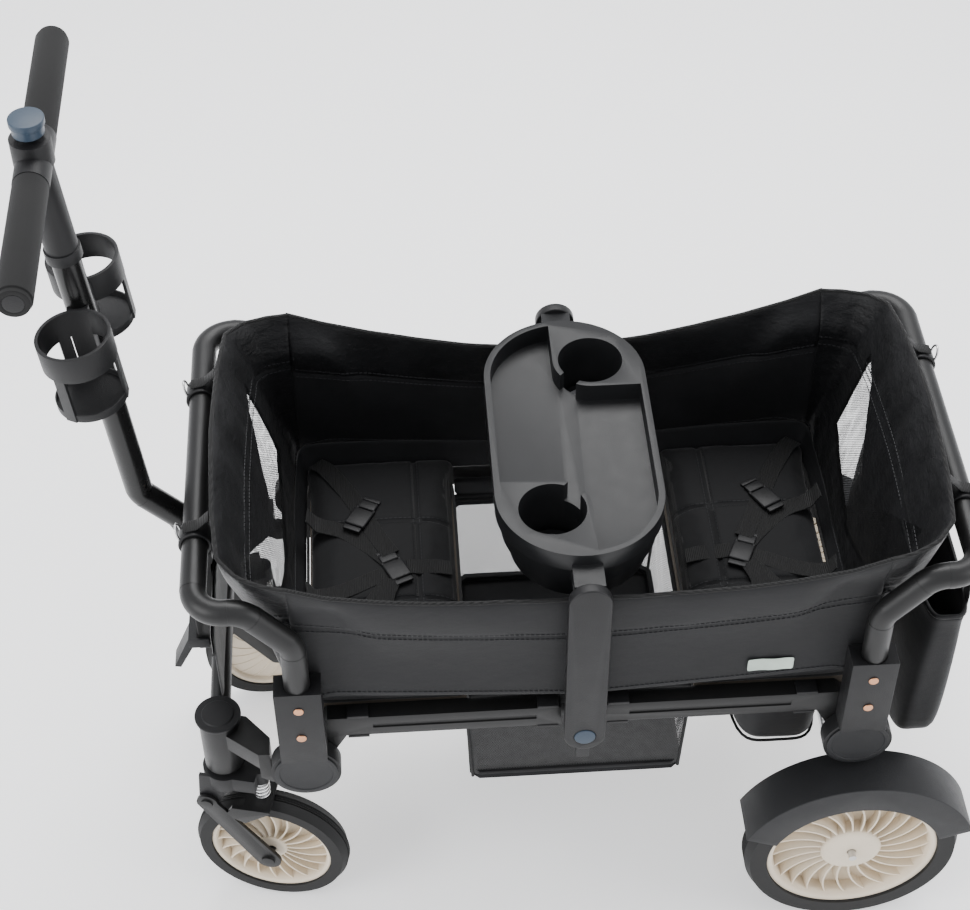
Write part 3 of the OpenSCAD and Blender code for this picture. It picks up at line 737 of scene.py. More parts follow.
def make_wheel(body, disc_node, tyre_node, axle, blades, hub_share):
    """Disc and tyre for one wheel. The axle direction points to the wheel's outer face."""
    axle = Vector(axle).normalized()
    centre = middle_of(tyre_node)
    low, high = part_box(tyre_node)
    radius = (high[2] - low[2]) / 2
    big = radius > 0.12
    disc_r = radius * (0.8 if big else 0.79)
    half = 0.023 if big else 0.0165
    section = tyre_outline(radius, disc_r, half, 5 if big else 3, 0.011)
    tyre = spin(tyre_node + "_made", section, centre, axle, 128)
    finish_piece(plain(tyre, tyre_grey), body, "tyre_grey", tyre_node, angle=50.0)
    face = half * 0.86
    rim = spin("rim", rounded([(disc_r, -face), (disc_r, face), (disc_r * 0.93, face * 0.9),
                               (disc_r * 0.905, face * 0.45), (disc_r * 0.905, -face * 0.45),
                               (disc_r * 0.93, -face * 0.9)], 0.003), centre, axle)
    hub_r = radius * hub_share
    hub = spin("hub", rounded([(0.0055, -half), (hub_r * 0.8, -half), (hub_r, -half * 0.5),
                               (hub_r, face * 0.66), (hub_r * 0.9, face * 0.8),
                               (hub_r * 0.5, face * 0.86),
                               (0.0055, face * 0.86)], 0.002), centre, axle)
    web = spin("web", [(hub_r * 0.9, -face * 0.42), (disc_r * 0.93, -face * 0.42),
                       (disc_r * 0.93, -face * 0.3), (hub_r * 0.9, -face * 0.3)], centre, axle)
    ring = ring_of_blades("blades", hub_r * 0.97, disc_r * 0.92, depth=face * 1.1, thick=0.0024,
                          sweep=16.0, count=blades, material=cream)
    turn = axle.to_track_quat("Z", "Y").to_matrix().to_4x4()
    ring.data.transform(Matrix.Translation(centre + axle * face * 0.05) @ turn)
    wheel = join([plain(p, cream) for p in (rim, hub, web)] + [ring], disc_node + "_made")
    finish_piece(wheel, body, "cream", disc_node)
    return wheel


CASTER_YAW = math.radians(13)
make_wheel("rear_wheel_near", "rear_disc_near", "rear_tyre_near", (0, -1, 0), 24, 0.285)
make_wheel("rear_wheel_far", "rear_disc_far", "rear_tyre_far", (0, 1, 0), 24, 0.285)
make_wheel("front_wheel_near", "front_disc_near", "front_tyre_near",
           (-math.sin(CASTER_YAW), -math.cos(CASTER_YAW), 0), 20, 0.2)
make_wheel("front_wheel_far", "front_disc_far", "front_tyre_far",
           (-math.sin(CASTER_YAW), math.cos(CASTER_YAW), 0), 20, 0.2)
print("four wheels")

# %% [markdown]
# Each caster's coil spring is a real helix between two flat end turns.

# %% Tubes along a path, and the springs
def sweep(name, path, section, closed_path=False, up=Vector((0, 0, 1))):
    """A closed section of (across, up) pairs carried along a path of points."""
    verts, faces = [], []
    n, m = len(path), len(section)
    for i, point in enumerate(path):
        ahead = path[(i + 1) % n] if closed_path or i < n - 1 else point
        back = path[i - 1] if closed_path or i > 0 else point
        run = (ahead - back).normalized()
        across = run.cross(up)
        across = across.normalized() if across.length > 1e-6 else Vector((1, 0, 0))
        high = across.cross(run).normalized()
        verts += [point + across * a + high * b for a, b in section]
    for i in range(n if closed_path else n - 1):
        j = (i + 1) % n
        for k in range(m):
            q = (k + 1) % m
            faces.append((i * m + k, j * m + k, j * m + q, i * m + q))
    if not closed_path:
        faces += [tuple(range(m)), tuple(range((n - 1) * m, n * m))]
    return link(turn_out(new_mesh(name, verts, faces)), name)


def round_section(radius, steps=10):
    return [(radius * math.cos(math.tau * k / steps), radius * math.sin(math.tau * k / steps))
            for k in range(steps)]


def smooth_path(points, steps=8):
    """A Catmull-Rom curve through the points."""
    pts = [points[0] * 2 - points[1]] + list(points) + [points[-1] * 2 - points[-2]]
    out = []
    for i in range(1, len(pts) - 2):
        a, b, c, d = pts[i - 1:i + 3]
        for k in range(steps):
            t = k / steps
            out.append(0.5 * (2 * b + (c - a) * t + (2 * a - 5 * b + 4 * c - d) * t * t
                              + (3 * b - a - 3 * c + d) * t ** 3))
    out.append(pts[-2].copy())
    return out


def make_spring(side):
    node = "spring_" + side
    low, high = low_of(node), high_of(node)
    mid = (low + high) / 2
    wire, coil_r = 0.0017, 0.0092
    turns, steps = 5.5, 150
    path = []
    for i in range(steps + 1):
        t = i / steps
        lift = min(1.0, max(0.0, (t - 0.12) / 0.76))
        z = low.z + wire + (high.z - low.z - 2 * wire) * lift
        a = math.tau * turns * t
        path.append(Vector((mid.x + coil_r * math.cos(a), mid.y + coil_r * math.sin(a), z)))
    spring = sweep(node + "_made", path, round_section(wire, 8))
    finish_piece(plain(spring, spring_steel), "caster_" + side, "spring_steel", node)
    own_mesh(spring)


make_spring("near")
make_spring("far")
print("springs")

# %% [markdown]
# The tray is one hollow moulding with an S-shaped recess and two cup wells. Its edges are softened
# like the other mouldings, but with a wider round, and each cup well gets a ribbed coaster.

# %% Tray and coasters
soften("tray", tray_black, 2.6)
coaster_low, coaster_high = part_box("cup_discs")
coaster_r = coaster_high[0] - MID_X - 0.034
coasters = []
for way in (-1, 1):
    rings = [(0.0, 0.0), (coaster_r, 0.0), (coaster_r, 0.0011), (coaster_r - 0.001, 0.0016)]
    for k in range(5):
        r = coaster_r - 0.0026 - k * 0.0028
        rings += [(r, 0.0016 if k % 2 else 0.0009), (r - 0.0009, 0.0016 if k % 2 else 0.0009)]
    rings.append((0.0, 0.0011))
    spot = at(34 * way, 124.5 * way, coaster_low[2] / MM)
    coasters.append(plain(spin("coaster", rings, spot, (0, 0, 1), 64), pale_grey))
finish_piece(join(coasters, "cup_discs_made"), "tray_set", "pale_grey", "cup_discs")
print("tray and coasters")

# %% [markdown]
# A sewn wall is thin cloth with a padded band along its top. Seen end on, its section is one closed
# loop: up the outside, over the rim and down the inside. Carrying that loop along the wall gives a
# closed shell whose seam, band and panel are all real shape, and a few noise values crumple it.

# %% Sewn walls
def ease(t):
    t = max(0.0, min(1.0, t))
    return t * t * (3 - 2 * t)


def read(table, x):
    """Straight-line reading of a table of (x, value) pairs."""
    for (x0, v0), (x1, v1) in zip(table, table[1:]):
        if x <= x1:
            return v0 + (v1 - v0) * (x - x0) / (x1 - x0)
    return table[-1][1]


def wall_levels(band):
    """Heights and half thicknesses, in millimetres, of a wall whose band is this share of it."""
    seam = 1 - band
    low = [(seam * k / 9, 2.3) for k in range(9)] + [(seam - 0.012, 2.2)]
    high = [(seam, 1.1), (seam + 0.014, 2.4)]
    for k in range(1, 8):
        t = k / 8
        high.append((seam + band * t, 2.4 + 3.0 * math.sin(math.pi * t) ** 0.7))
    return low + high + [(0.992, 2.2), (1.0, 0.9)]


def sewn_wall(name, centre, out, steps, band, gather, materials):
    """centre(s, v) and out(s) place the middle of the cloth; materials are for the outer face, the
    inner panel and the inner band."""
    levels = wall_levels(band)
    verts, faces, marks = [], [], []
    m = len(levels)
    for i in range(steps + 1):
        s = i / steps
        normal = out(s)
        row = []
        for v, half in levels:
            point = centre(s, v)
            free = ease(min(s, 1 - s) * 14) * ease(v * 6) * ease((1.02 - v) * 14)
            fold = noise.noise(Vector((point.x * 46, point.y * 46, point.z * 9)))
            cloud = noise.noise(point * 17)
            share = 1.0 if v > 1 - band else 0.45
            push = (fold * 0.6 + cloud) * gather * share * free
            row.append((point + normal * push, half * MM))
        verts += [p + normal * h for p, h in row]
        verts += [p - normal * h for p, h in reversed(row)]
    n = 2 * m
    for i in range(steps):
        a, b = i * n, (i + 1) * n
        for k in range(n):
            q = (k + 1) % n
            faces.append((a + k, b + k, b + q, a + q))
            v = levels[k][0] if k < m else levels[n - 1 - k][0]
            marks.append(0 if k < m - 1 else (2 if v > 1 - band else 1))
    for a, side in ((0, 1), (steps * n, -1)):
        for k in range(m - 1):
            faces.append((a + k, a + k + 1, a + n - 2 - k, a + n - 1 - k)[::side])
            marks.append(0)
    mesh = new_mesh(name, verts, faces)
    for face, mark in zip(mesh.polygons, marks):
        face.material_index = mark
    for material in materials:
        mesh.materials.append(material)
    piece = link(mesh, name)
    sub = piece.modifiers.new("round", "SUBSURF")
    sub.levels = sub.render_levels = 1
    return bake(piece)


TOP_Z = [(0, 620), (60, 621), (120, 626), (180, 635), (240, 647), (300, 663), (345, 681)]
TOP_Y = [(0, 215), (100, 217), (200, 225), (300, 231), (342, 231)]
FOOT_Z = [(0, 441), (200, 455), (300, 463), (342, 452)]


def wall_side(end, side):
    """Half of one long wall: end is 1 at the rear, -1 in front, and side is 1 on the far side."""
    def centre(s, v):
        x = 0.8 + (345 - 0.8) * s
        foot, top = read(FOOT_Z, x), read(TOP_Z, x)
        z = foot + (top - foot) * v
        begin = 520 + 105 * ease((x - 235) / 70)
        y = 214 + (read(TOP_Y, x) - 214) * ease((z - begin) / (top - begin))
        y -= 2.2 * math.sin(math.pi * min(1.0, v / 0.72)) * ease(s * 4) * (1 if x < 310 else 0.5)
        return at(end * x, side * y, z)

    return centre, lambda s: Vector((0, side, 0))


END_FOOT = [(342, 214), (347, 211), (349.5, 204), (350, 190), (350, 120), (350, 0)]
END_TOP = [(342, 231), (368, 226), (398, 213), (420, 188), (427, 120), (430, 0)]
END_STEPS = [0.0, 0.09, 0.18, 0.28, 0.5, 1.0]


def wall_end(end):
    """The curved end of the tub, from the near corner round to the far one."""
    def pair(table, t):
        return (read(list(zip(END_STEPS, [p[0] for p in table])), t),
                read(list(zip(END_STEPS, [p[1] for p in table])), t))

    def centre(s, v):
        side = -1 if s < 0.5 else 1
        t = 1 - abs(2 * s - 1)
        (x0, y0), (x1, y1) = pair(END_FOOT, t), pair(END_TOP, t)
        foot = 452 - 22 * ease(t * 3)
        top = 680 + 16 * ease(t * 2.2) + 12 * ease((t - 0.3) * 1.6)
        z = foot + (top - foot) * v
        rise = ease((z - 622) / (top - 622))
        lean = v * (0.55 + 0.45 * v)
        x = x0 + (x1 - x0) * lean
        y = y0 + (y1 - y0) * (rise if y1 > y0 else v)
        return at(end * x, side * y, z)

    def out(s):
        side = -1 if s < 0.5 else 1
        t = 1 - abs(2 * s - 1)
        turn = math.radians(90) * ease(t * 3.4)
        return Vector((end * math.sin(turn), side * math.cos(turn), 0)).normalized()

    return centre, out


def end_cloth(name, tone):
    """The tub's glossy nylon, with two net windows let into the end wall below the band."""
    finish = cloth_finish(name, tone, 0.36, 0.0011, 0.8, 0.10, ("Y", "Z"))
    half_width, foot, head, wall_x = 0.152, 0.515, 0.640, 0.344
    across = finish.along("Y").size()
    up = finish.along("Z")
    ahead = (finish.along("X") - MID_X).size()
    inside = across.under(half_width) * (up - foot + (half_width - across) * 0.28).over(0.0)
    inside = (inside * (head - up - (half_width - across) * 0.72).over(0.0)
              * ahead.over(wall_x))
    turns = math.pi / 0.0032
    one = (across * turns + up * turns).sine().size().under(0.42)
    two = (across * turns - up * turns).sine().size().under(0.42)
    finish.feed("Alpha", (1 - inside).most(one.most(two)))
    return finish.material


end_nylon = end_cloth("end_nylon", 0.0050)
print("wall helpers ready")

# %% [markdown]
# Stitches repeat along every seam, so Geometry Nodes lay them: the seam is a line of points, turned
# into a curve, resampled at the stitch pitch, with one short thread on each point, turned to run
# along the seam. The tree has named inputs for the pitch and for the thread's length.

# %% Stitches and piping
def stitch_tree():
    tree, add, tie, entry = open_tree("stitch_row", Pitch="Float", Thread="Vector")
    curve = add("GeometryNodeMeshToCurve")
    even = add("GeometryNodeResampleCurve")
    even.mode = "LENGTH"
    tangent = add("GeometryNodeInputTangent")
    turn = add("FunctionNodeAlignRotationToVector")
    turn.axis = "X"
    thread = add("GeometryNodeMeshCube")
    spread = add("GeometryNodeInstanceOnPoints")
    tie(entry.outputs["Geometry"], curve.inputs["Mesh"])
    tie(curve.outputs[0], even.inputs["Curve"])
    tie(entry.outputs["Pitch"], even.inputs["Length"])
    tie(tangent.outputs[0], turn.inputs["Vector"])
    tie(entry.outputs["Thread"], thread.inputs["Size"])
    tie(even.outputs[0], spread.inputs["Points"])
    tie(thread.outputs["Mesh"], spread.inputs["Instance"])
    tie(turn.outputs[0], spread.inputs["Rotation"])
    return close_tree(tree, entry, spread)


stitch_row = stitch_tree()
thread_grey = moulded("thread_grey", (0.020, 0.0205, 0.022), 0.6, 0.1)


def stitches(path, pitch=6.0, size=(4.2, 1.0, 1.0), material=None):
    mesh = new_mesh("stitches", path, [], [(i, i + 1) for i in range(len(path) - 1)])
    piece = link(mesh, "stitches")
    modifier = piece.modifiers.new("row", "NODES")
    modifier.node_group = stitch_row
    set_inputs(modifier, Pitch=pitch * MM, Thread=tuple(v * MM for v in size),
               Finish=material or thread_grey)
    return bake(piece)


def piping(path, radius, material=None, closed_path=False):
    made = sweep("piping", path, round_section(radius * MM, 8), closed_path)
    return plain(made, material or piping_cloth)


print("stitch tree ready")

# %% [markdown]
# The tub is two U-shaped halves that meet at the centre arms. Each long wall stays with its chassis
# end. Each end wall hangs from the end bar at its top and is sewn to the seat at its foot.

# %% Tub
def trim_wall(wall, centre, out, band, steps, name):
    """Adds the piping along the rim and the rows of stitches to a sewn wall."""
    rim = [centre(i / steps, 1.0) for i in range(steps + 1)]
    rows = [piping(rim, 2.6)]
    for v, lift in ((1 - band + 0.03, 4.0), (1 - band - 0.03, 3.0), (0.05, 3.0)):
        for way in (-1, 1):
            line = [centre(i / steps, v) + out(i / steps) * way * lift * MM
                    for i in range(1, steps)]
            rows.append(stitches(line))
    return join([wall] + rows, name)


for end_name, end in ENDS.items():
    chassis, rails = end_name + "_chassis", end_name + "_rail_set"
    for side_name, side in SIDES.items():
        centre, out = wall_side(end, side)
        label = f"tub_{end_name}_{side_name}"
        wall = sewn_wall(label, centre, out, 40, 0.36, 0.0016, (panel_cloth, panel_cloth, nylon))
        wall = trim_wall(wall, centre, out, 0.36, 40, label)
        finish_piece(wall, chassis, "shell_nylon", "tub_" + end_name, angle=60, flip=True)
        tuple(at(end * 342, 0, 500))
        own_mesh(wall)
    centre, out = wall_end(end)
    label = f"tub_{end_name}_end"
    wall = sewn_wall(label, centre, out, 84, 0.30, 0.0040, (end_nylon, end_nylon, end_nylon))
    wall = trim_wall(wall, centre, out, 0.30, 84, label)
    dress(wall, None, angle=60)
    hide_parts("tub_" + end_name)
    tuple(at(end * 400, 0, 600))
    tuple(at(end * 350, 0, 452))
    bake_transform(wall)
print("tub walls")


# %% [markdown]
# Each seat has a foam cushion in a sewn cover. A real cover pulls tight over the foam, so the pad
# is blown up a little with Blender's Cloth, which also draws its sides in, and is then stretched
# back to its full width. Three sewn channels are pressed in afterwards, because the remesh would
# wipe them out. The end that faces the feet is spacer mesh.

# %% Cushion helpers
def block(name, low, high, round_off):
    work = bmesh.new()
    bmesh.ops.create_cube(work, size=1.0)
    size, mid = Vector(high) - Vector(low), (Vector(high) + Vector(low)) / 2
    for vert in work.verts:
        vert.co = Vector((vert.co.x * size.x, vert.co.y * size.y, vert.co.z * size.z)) + mid
    bmesh.ops.bevel(work, geom=list(work.edges), offset=round_off, segments=3, affect="EDGES",
                    profile=0.5)
    mesh = bpy.data.meshes.new(name)
    work.to_mesh(mesh)
    work.free()
    return link(mesh, name)


def swell(piece, voxel, pressure, most):
    """Remeshes a pad, blows it up with Cloth and keeps every point within `most` of its start."""
    remesh = piece.modifiers.new("even", "REMESH")
    remesh.mode = "VOXEL"
    remesh.voxel_size = voxel
    bake(piece)
    start = [v.co.copy() for v in piece.data.vertices]
    cover = piece.modifiers.new("cover", "CLOTH")
    cover.settings.quality = 5
    cover.settings.mass = 0.25
    cover.settings.use_pressure = True
    cover.settings.uniform_pressure_force = pressure
    cover.settings.effector_weights.gravity = 0.0
    for step in range(1, 21):
        bpy.context.scene.frame_set(step)
    bake(piece)
    bpy.context.scene.frame_set(1)
    for vert, was in zip(piece.data.vertices, start):
        move = vert.co - was
        if move.length > most:
            vert.co = was + move.normalized() * most
    return piece


PAD_HALF = (0.0985, 0.1925)
CHANNEL_Y = (-0.066, 0.066)
CHANNEL_X = 0.045
CHANNEL_WIDTH = 0.0035
CHANNEL_DEPTH = 0.0042
STITCH_OFFSETS = (-0.0042, 0.0042)


def cushion(end):
    name = end_name_of(end)
    low, high = at(min(end * 141, end * 332), -189, 413), at(max(end * 141, end * 332), 189, 448)
    pad = swell(block(name, low, high, 0.012), voxel=0.0055, pressure=4.0, most=0.008)
    sub = pad.modifiers.new("fine", "SUBSURF")
    sub.levels = sub.render_levels = 1
    bake(pad)
    mesh = pad.data
    mid = at(end * 236.5, 0, 431)
    for axis, half in enumerate(PAD_HALF):
        low, high = (pick(v.co[axis] for v in mesh.vertices) for pick in (min, max))
        for vert in mesh.vertices:
            vert.co[axis] = mid[axis] + (vert.co[axis] - (low + high) / 2) * 2 * half / (high - low)
    for vert in mesh.vertices:
        p = vert.co
        if p.z > mid.z:
            across, along = (p.y - mid.y) / 0.195, (p.x - mid.x) / 0.099
            crown = 0.009 * max(0.0, 1 - across ** 2) ** 0.6 * max(0.0, 1 - along ** 2) ** 0.6
            seams = sum(math.exp(-((p.y - y) / CHANNEL_WIDTH) ** 2) for y in CHANNEL_Y)
            cross = math.exp(-((p.x - mid.x + end * CHANNEL_X) / CHANNEL_WIDTH) ** 2)
            press = CHANNEL_DEPTH * min(1.0, seams + cross)
            p.z += (crown - press + 0.0012 * noise.noise(p * 24)) * ease((p.z - mid.z) / 0.008)
        p.z = max(p.z, mid.z - 0.0188)
    for material in (seat_cloth, gusset):
        mesh.materials.append(material)
    for face in mesh.polygons:
        face.material_index = 1 if face.normal.x * end < -0.55 and abs(face.normal.z) < 0.75 else 0
    rows = []
    for y in CHANNEL_Y:
        for shift in STITCH_OFFSETS:
            line = [Vector((mid.x + (k / 30 - 0.5) * 0.17, y + shift, 0)) for k in range(31)]
            rows.append(stitches(line))
    for shift in STITCH_OFFSETS:
        x = mid.x - end * CHANNEL_X + shift
        rows.append(stitches([Vector((x, (k / 40 - 0.5) * 0.35, 0)) for k in range(41)]))
    corners = [f.vertices[:] for f in mesh.polygons]
    tree = BVHTree.FromPolygons([v.co for v in mesh.vertices], corners)
    for row in rows:
        for vert in row.data.vertices:
            lift = vert.co.z
            hit = tree.ray_cast(Vector((vert.co.x, vert.co.y, 1.0)), Vector((0, 0, -1)))[0]
            vert.co.z = (hit.z if hit else mid.z) + lift * 0.6
    edge = []
    for k in range(60):
        a = math.tau * k / 60
        c, d = math.cos(a), math.sin(a)
        flat = (abs(c) ** 8 + abs(d) ** 8) ** (-1 / 8)
        edge.append(mid + Vector((c * flat * 0.0965, d * flat * 0.191, 0.008)))
    rows.append(piping(edge, 2.0, closed_path=True))
    pad = join([pad] + rows, name + "_cushion_made")
    finish_piece(pad, name + "_rail_set", "seat_fabric", name + "_cushion", angle=60, flip=True)
    tuple(at(end * 236, 0, 412))
    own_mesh(pad)
    return pad


# %% [markdown]
# The two cushions are one function called twice, because the front seat mirrors the rear one.

# %% Cushions
for end in ENDS.values():
    pad = cushion(end)
    print(pad.name, len(pad.data.polygons))

# %% [markdown]
# The foot-well is a box of dark net with a nylon floor, bound with tape at its rim, foot and
# corners. Its cloth is thin, so each side is an open grid of points given a thickness, bowed in a
# little.

# %% Foot-well
def cloth_surface(name, rows, thick, material, ring=False, levels=1):
    """An open grid of points given a thickness and rounded, as a closed shell."""
    n, m = len(rows), len(rows[0])
    faces = []
    for i in range(n if ring else n - 1):
        a, b = i * m, ((i + 1) % n) * m
        faces += [(a + j, b + j, b + j + 1, a + j + 1) for j in range(m - 1)]
    mesh = new_mesh(name, [p for row in rows for p in row], faces)
    mesh.materials.append(material)
    piece = link(mesh, name)
    wall = piece.modifiers.new("wall", "SOLIDIFY")
    wall.thickness = thick
    wall.offset = 0.0
    wall.use_even_offset = True
    if levels:
        sub = piece.modifiers.new("round", "SUBSURF")
        sub.levels = sub.render_levels = levels
    return bake(piece)


def tape(path, width, thick=1.6, material=None, closed_path=False, up=Vector((0, 0, 1))):
    """Flat webbing along a path."""
    a, b, r = width / 2 * MM, thick / 2 * MM, thick * 0.35 * MM
    section = [(-a, -b + r), (-a + r, -b), (a - r, -b), (a, -b + r), (a, b - r), (a - r, b),
               (-a + r, b), (-a, b - r)]
    return plain(sweep("tape", path, section, closed_path, up), material or strap_cloth)


def well_point(x, y, z, bow=0.0):
    half = 136 + 9 * (z - 215) / 183
    return at(x / 140 * (half - 2 - bow), y / 168 * (167 - bow), z)


def well_side(across, way, name, net):
    rows = []
    for i in range(21):
        t = i / 20 * 2 - 1
        row = []
        for k in range(11):
            z = 219 + 176 * k / 10
            bow = 4.5 * math.sin(math.pi * k / 10) * (1 - t * t)
            x, y = (t * 140, way * 168) if across else (way * 140, t * 168)
            row.append(well_point(x, y, z, bow))
        rows.append(row)
    return cloth_surface(name, rows, 0.0016, net)


net_cross = window_net("net_cross", 0.05, 0.0034, ("Y", "Z"), 0.62)
sides = [well_side(True, -1, "well_near", net_side), well_side(True, 1, "well_far", net_side),
         well_side(False, -1, "well_front", net_cross), well_side(False, 1, "well_rear", net_cross)]
floor_rows = [[well_point(x, y, 219 + 2.0 * noise.noise(Vector((x, y, 0)) * 0.02))
               for y in range(-168, 169, 24)] for x in range(-140, 141, 20)]
sides.append(cloth_surface("well_floor", floor_rows, 0.005, panel_cloth))
for z, width in ((389, 16), (223, 14)):
    loop = [well_point(x, y, z) for x, y in
            [(t, -168) for t in range(-130, 131, 20)] + [(140, t) for t in range(-160, 161, 20)]
            + [(-t, 168) for t in range(-130, 131, 20)]
            + [(-140, -t) for t in range(-160, 161, 20)]]
    hem = tape(loop, 2.6, width, panel_cloth, True)
    sides.append(hem)
for x in (-140, 140):
    for y in (-168, 168):
        sides.append(piping([well_point(x, y, 218 + 18 * k) for k in range(11)], 2.2))
foot_well = join(sides, "foot_well_made")
finish_piece(foot_well, "middle", "shell_nylon", "foot_well", angle=50, flip=True)
tuple(at(0, 0, 300))
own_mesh(foot_well)
print("foot-well", len(foot_well.data.polygons))

# %% [markdown]
# Soft skirts close the gaps that a child's things would fall through: one runs from the foot of the
# tub round each cushion, and one from the foot-well's rim out to the rails. They are single sheets.

# %% Skirts
def skirt(end):
    inner = [(8, 193, 426), (120, 193, 426), (220, 193, 427), (322, 192, 427),
             (331, 188, 427), (335, 178, 427), (336, 90, 427), (336, 0, 427)]
    outer = [(8, 210, 452), (120, 209.5, 460), (220, 209.5, 468), (334, 209, 470),
             (343, 205, 464), (348, 192, 456), (352, 90, 448), (352, 0, 446)]
    rows = []
    pairs = list(zip(inner, outer))
    for (a, b), side in [(p, -1) for p in pairs] + [(p, 1) for p in reversed(pairs[:-1])]:
        row = []
        for k in range(5):
            t = k / 4
            x, y, z = (a[j] + (b[j] - a[j]) * t for j in range(3))
            row.append(at(end * x, side * y, z - 2.5 * math.sin(math.pi * t)))
        rows.append(row)
    name = end_name_of(end)
    made = cloth_surface(name + "_skirt", rows, 0.0022, panel_cloth, levels=2)
    finish_piece(made, name + "_rail_set", "shell_nylon", angle=60, flip=True)
    tuple(at(end * 236, 0, 422))
    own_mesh(made)


for end in ENDS.values():
    skirt(end)
aprons = []
for side in (-1, 1):
    rows = [[at(x, side * y, z) for y, z in ((166, 399), (175, 403), (186, 404), (195, 402))]
            for x in range(-138, 139, 12)]
    aprons.append(cloth_surface("apron", rows, 0.0020, panel_cloth))
apron = join(aprons, "foot_well_apron")
finish_piece(apron, "middle", "shell_nylon", angle=60, flip=True)
tuple(at(0, 0, 300))
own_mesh(apron)
print("skirts")

# %% [markdown]
# The bags are lofted shells, not boxes: a rounded plan that swells in the middle and draws in at
# the rim, with sag lines from a few noise values. The rear one hangs open behind the seat from two
# tapes, with a drawcord channel round its rim; the one under the seat is a zipped box; the front
# one is a flat pocket with a flap.

# %% Bags
def round_plan(x0, x1, half_y, corner, t):
    """A point on a rounded rectangle, for t from 0 to 1 round it."""
    a = math.tau * t
    c, d = math.cos(a), math.sin(a)
    k = corner
    flat = (abs(c) ** k + abs(d) ** k) ** (-1 / k)
    return (x0 + x1) / 2 + (x1 - x0) / 2 * c * flat, half_y * d * flat


def bag_shell(name, levels, steps, sag, material, thick=0.003):
    """levels are (z, x0, x1, half_y) from the top down; the last one closes the floor."""
    rows = []
    for i in range(steps):
        row = []
        for z, x0, x1, half_y in levels:
            x, y = round_plan(x0, x1, half_y, 5, i / steps)
            p = at(x, y, z)
            pull = sag * MM * noise.noise(Vector((p.x * 22, p.y * 22, p.z * 10)))
            away = Vector((p.x - at((x0 + x1) / 2, 0, 0).x, p.y * 0.4, 0))
            row.append(p + (away.normalized() * pull if away.length > 1e-6 else Vector()))
        rows.append(row)
    return cloth_surface(name, rows, thick, material, ring=True)


basket = bag_shell("storage_basket_made", [
    (514, 417, 471, 186), (508, 416, 471, 186), (498, 417, 470, 184), (470, 413, 471, 187),
    (430, 409, 471, 188), (380, 405, 470, 188), (330, 402, 469, 188), (296, 402, 467, 186),
    (282, 406, 462, 178), (276, 416, 452, 150), (275, 428, 440, 60), (275, 433, 434, 8)],
    88, 3.2, panel_cloth)
trims = [basket]
rim = [at(*round_plan(417, 471, 185, 5, i / 88), 515) for i in range(88)]
trims.append(piping(rim, 3.0, nylon, True))
trims.append(stitches(rim[:87] + [rim[0]], 7.0))
for way in (-1, 1):
    trims.append(tape([at(470, way * 155, 505), at(470, way * 155, 530), at(463, way * 155, 600),
                       at(459, way * 155, 634)], 20, up=Vector((1, 0, 0))))
tail = smooth_path([at(472, 40, 512), at(473, 46, 492), at(472, 38, 470)])
trims.append(piping(tail, 1.6, strap_cloth))
toggle = rounded([(0.0, -0.009), (0.0042, -0.009), (0.0046, 0.0), (0.0042, 0.009), (0.0, 0.009)],
                 0.0015)
trims.append(plain(spin("toggle", toggle, at(472, 44, 492), (0, 0, 1), 20), hub_black))
bag = join(trims, "storage_basket_made")
finish_piece(bag, "rear_chassis", "shell_nylon", "storage_basket", angle=50, flip=True)
tuple(at(474, 0, 400))
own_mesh(bag)

box_walls = bag_shell("seat_box_made", [
    (401, 260, 262, 6), (401, 220, 302, 120), (400, 208, 314, 160), (394, 206, 316, 167),
    (360, 205, 317, 168), (320, 205, 317, 168), (280, 206, 316, 168), (263, 208, 314, 165),
    (257, 216, 306, 150), (257, 240, 282, 90), (257, 259, 263, 6)], 72, 2.0, panel_cloth, 0.004)
box_trims = [box_walls]
for z in (262, 392):
    loop = [at(*round_plan(205, 317, 168, 5, i / 72), z) for i in range(72)]
    box_trims.append(piping(loop, 2.0, closed_path=True))
zip_line = [at(205 - 0.5, y, 372) for y in range(-140, 141, 10)]
box_trims.append(tape(zip_line, 1.4, 9.0, strap_cloth))
teeth = [p + Vector((-0.0012, 0, 0)) for p in zip_line]
box_trims.append(stitches(teeth, 3.0, (1.6, 2.6, 2.0), steel))
seat_bag = join(box_trims, "seat_box_made")
finish_piece(seat_bag, "rear_rail_set", "shell_nylon", "seat_box", angle=50, flip=True)

pocket_rows = []
for i in range(23):
    y = -129 + 258 * i / 22
    swell_out = 3.4 * math.cos(math.pi * y / 280)
    row = []
    for k in range(13):
        x = (-446 - swell_out * math.sin(math.pi * k / 12)
             + 1.5 * noise.noise(Vector((y, k, 0)) * 0.13))
        row.append(at(x, y, 360 + 124 * k / 12))
    pocket_rows.append(row)
pocket = cloth_surface("front_pocket_made", pocket_rows, 0.0028, panel_cloth)
flap_rows = [[at(-449.5 - 0.6 * (k == 5), y, 484 - 9 * k) for k in range(6)]
             for y in range(-130, 131, 20)]
pocket_trims = [pocket, cloth_surface("flap", flap_rows, 0.0022, nylon)]
pocket_trims.append(stitches([at(-451, y, 444) for y in range(-126, 127, 14)]))
front_bag = join(pocket_trims, "front_pocket_made")
finish_piece(front_bag, "front_chassis", "shell_nylon", "front_pocket", angle=50, flip=True)
print("bags")

# %% [markdown]
# Each seat has a harness of flat webbing: two shoulder straps, a lap strap and a crotch strap that
# meet in a side-release buckle. Webbing is modelled directly as a swept ribbon, because a cloth
# remesh would wipe out anything so thin.

# %% Harness
CUSHION_TOP = 460


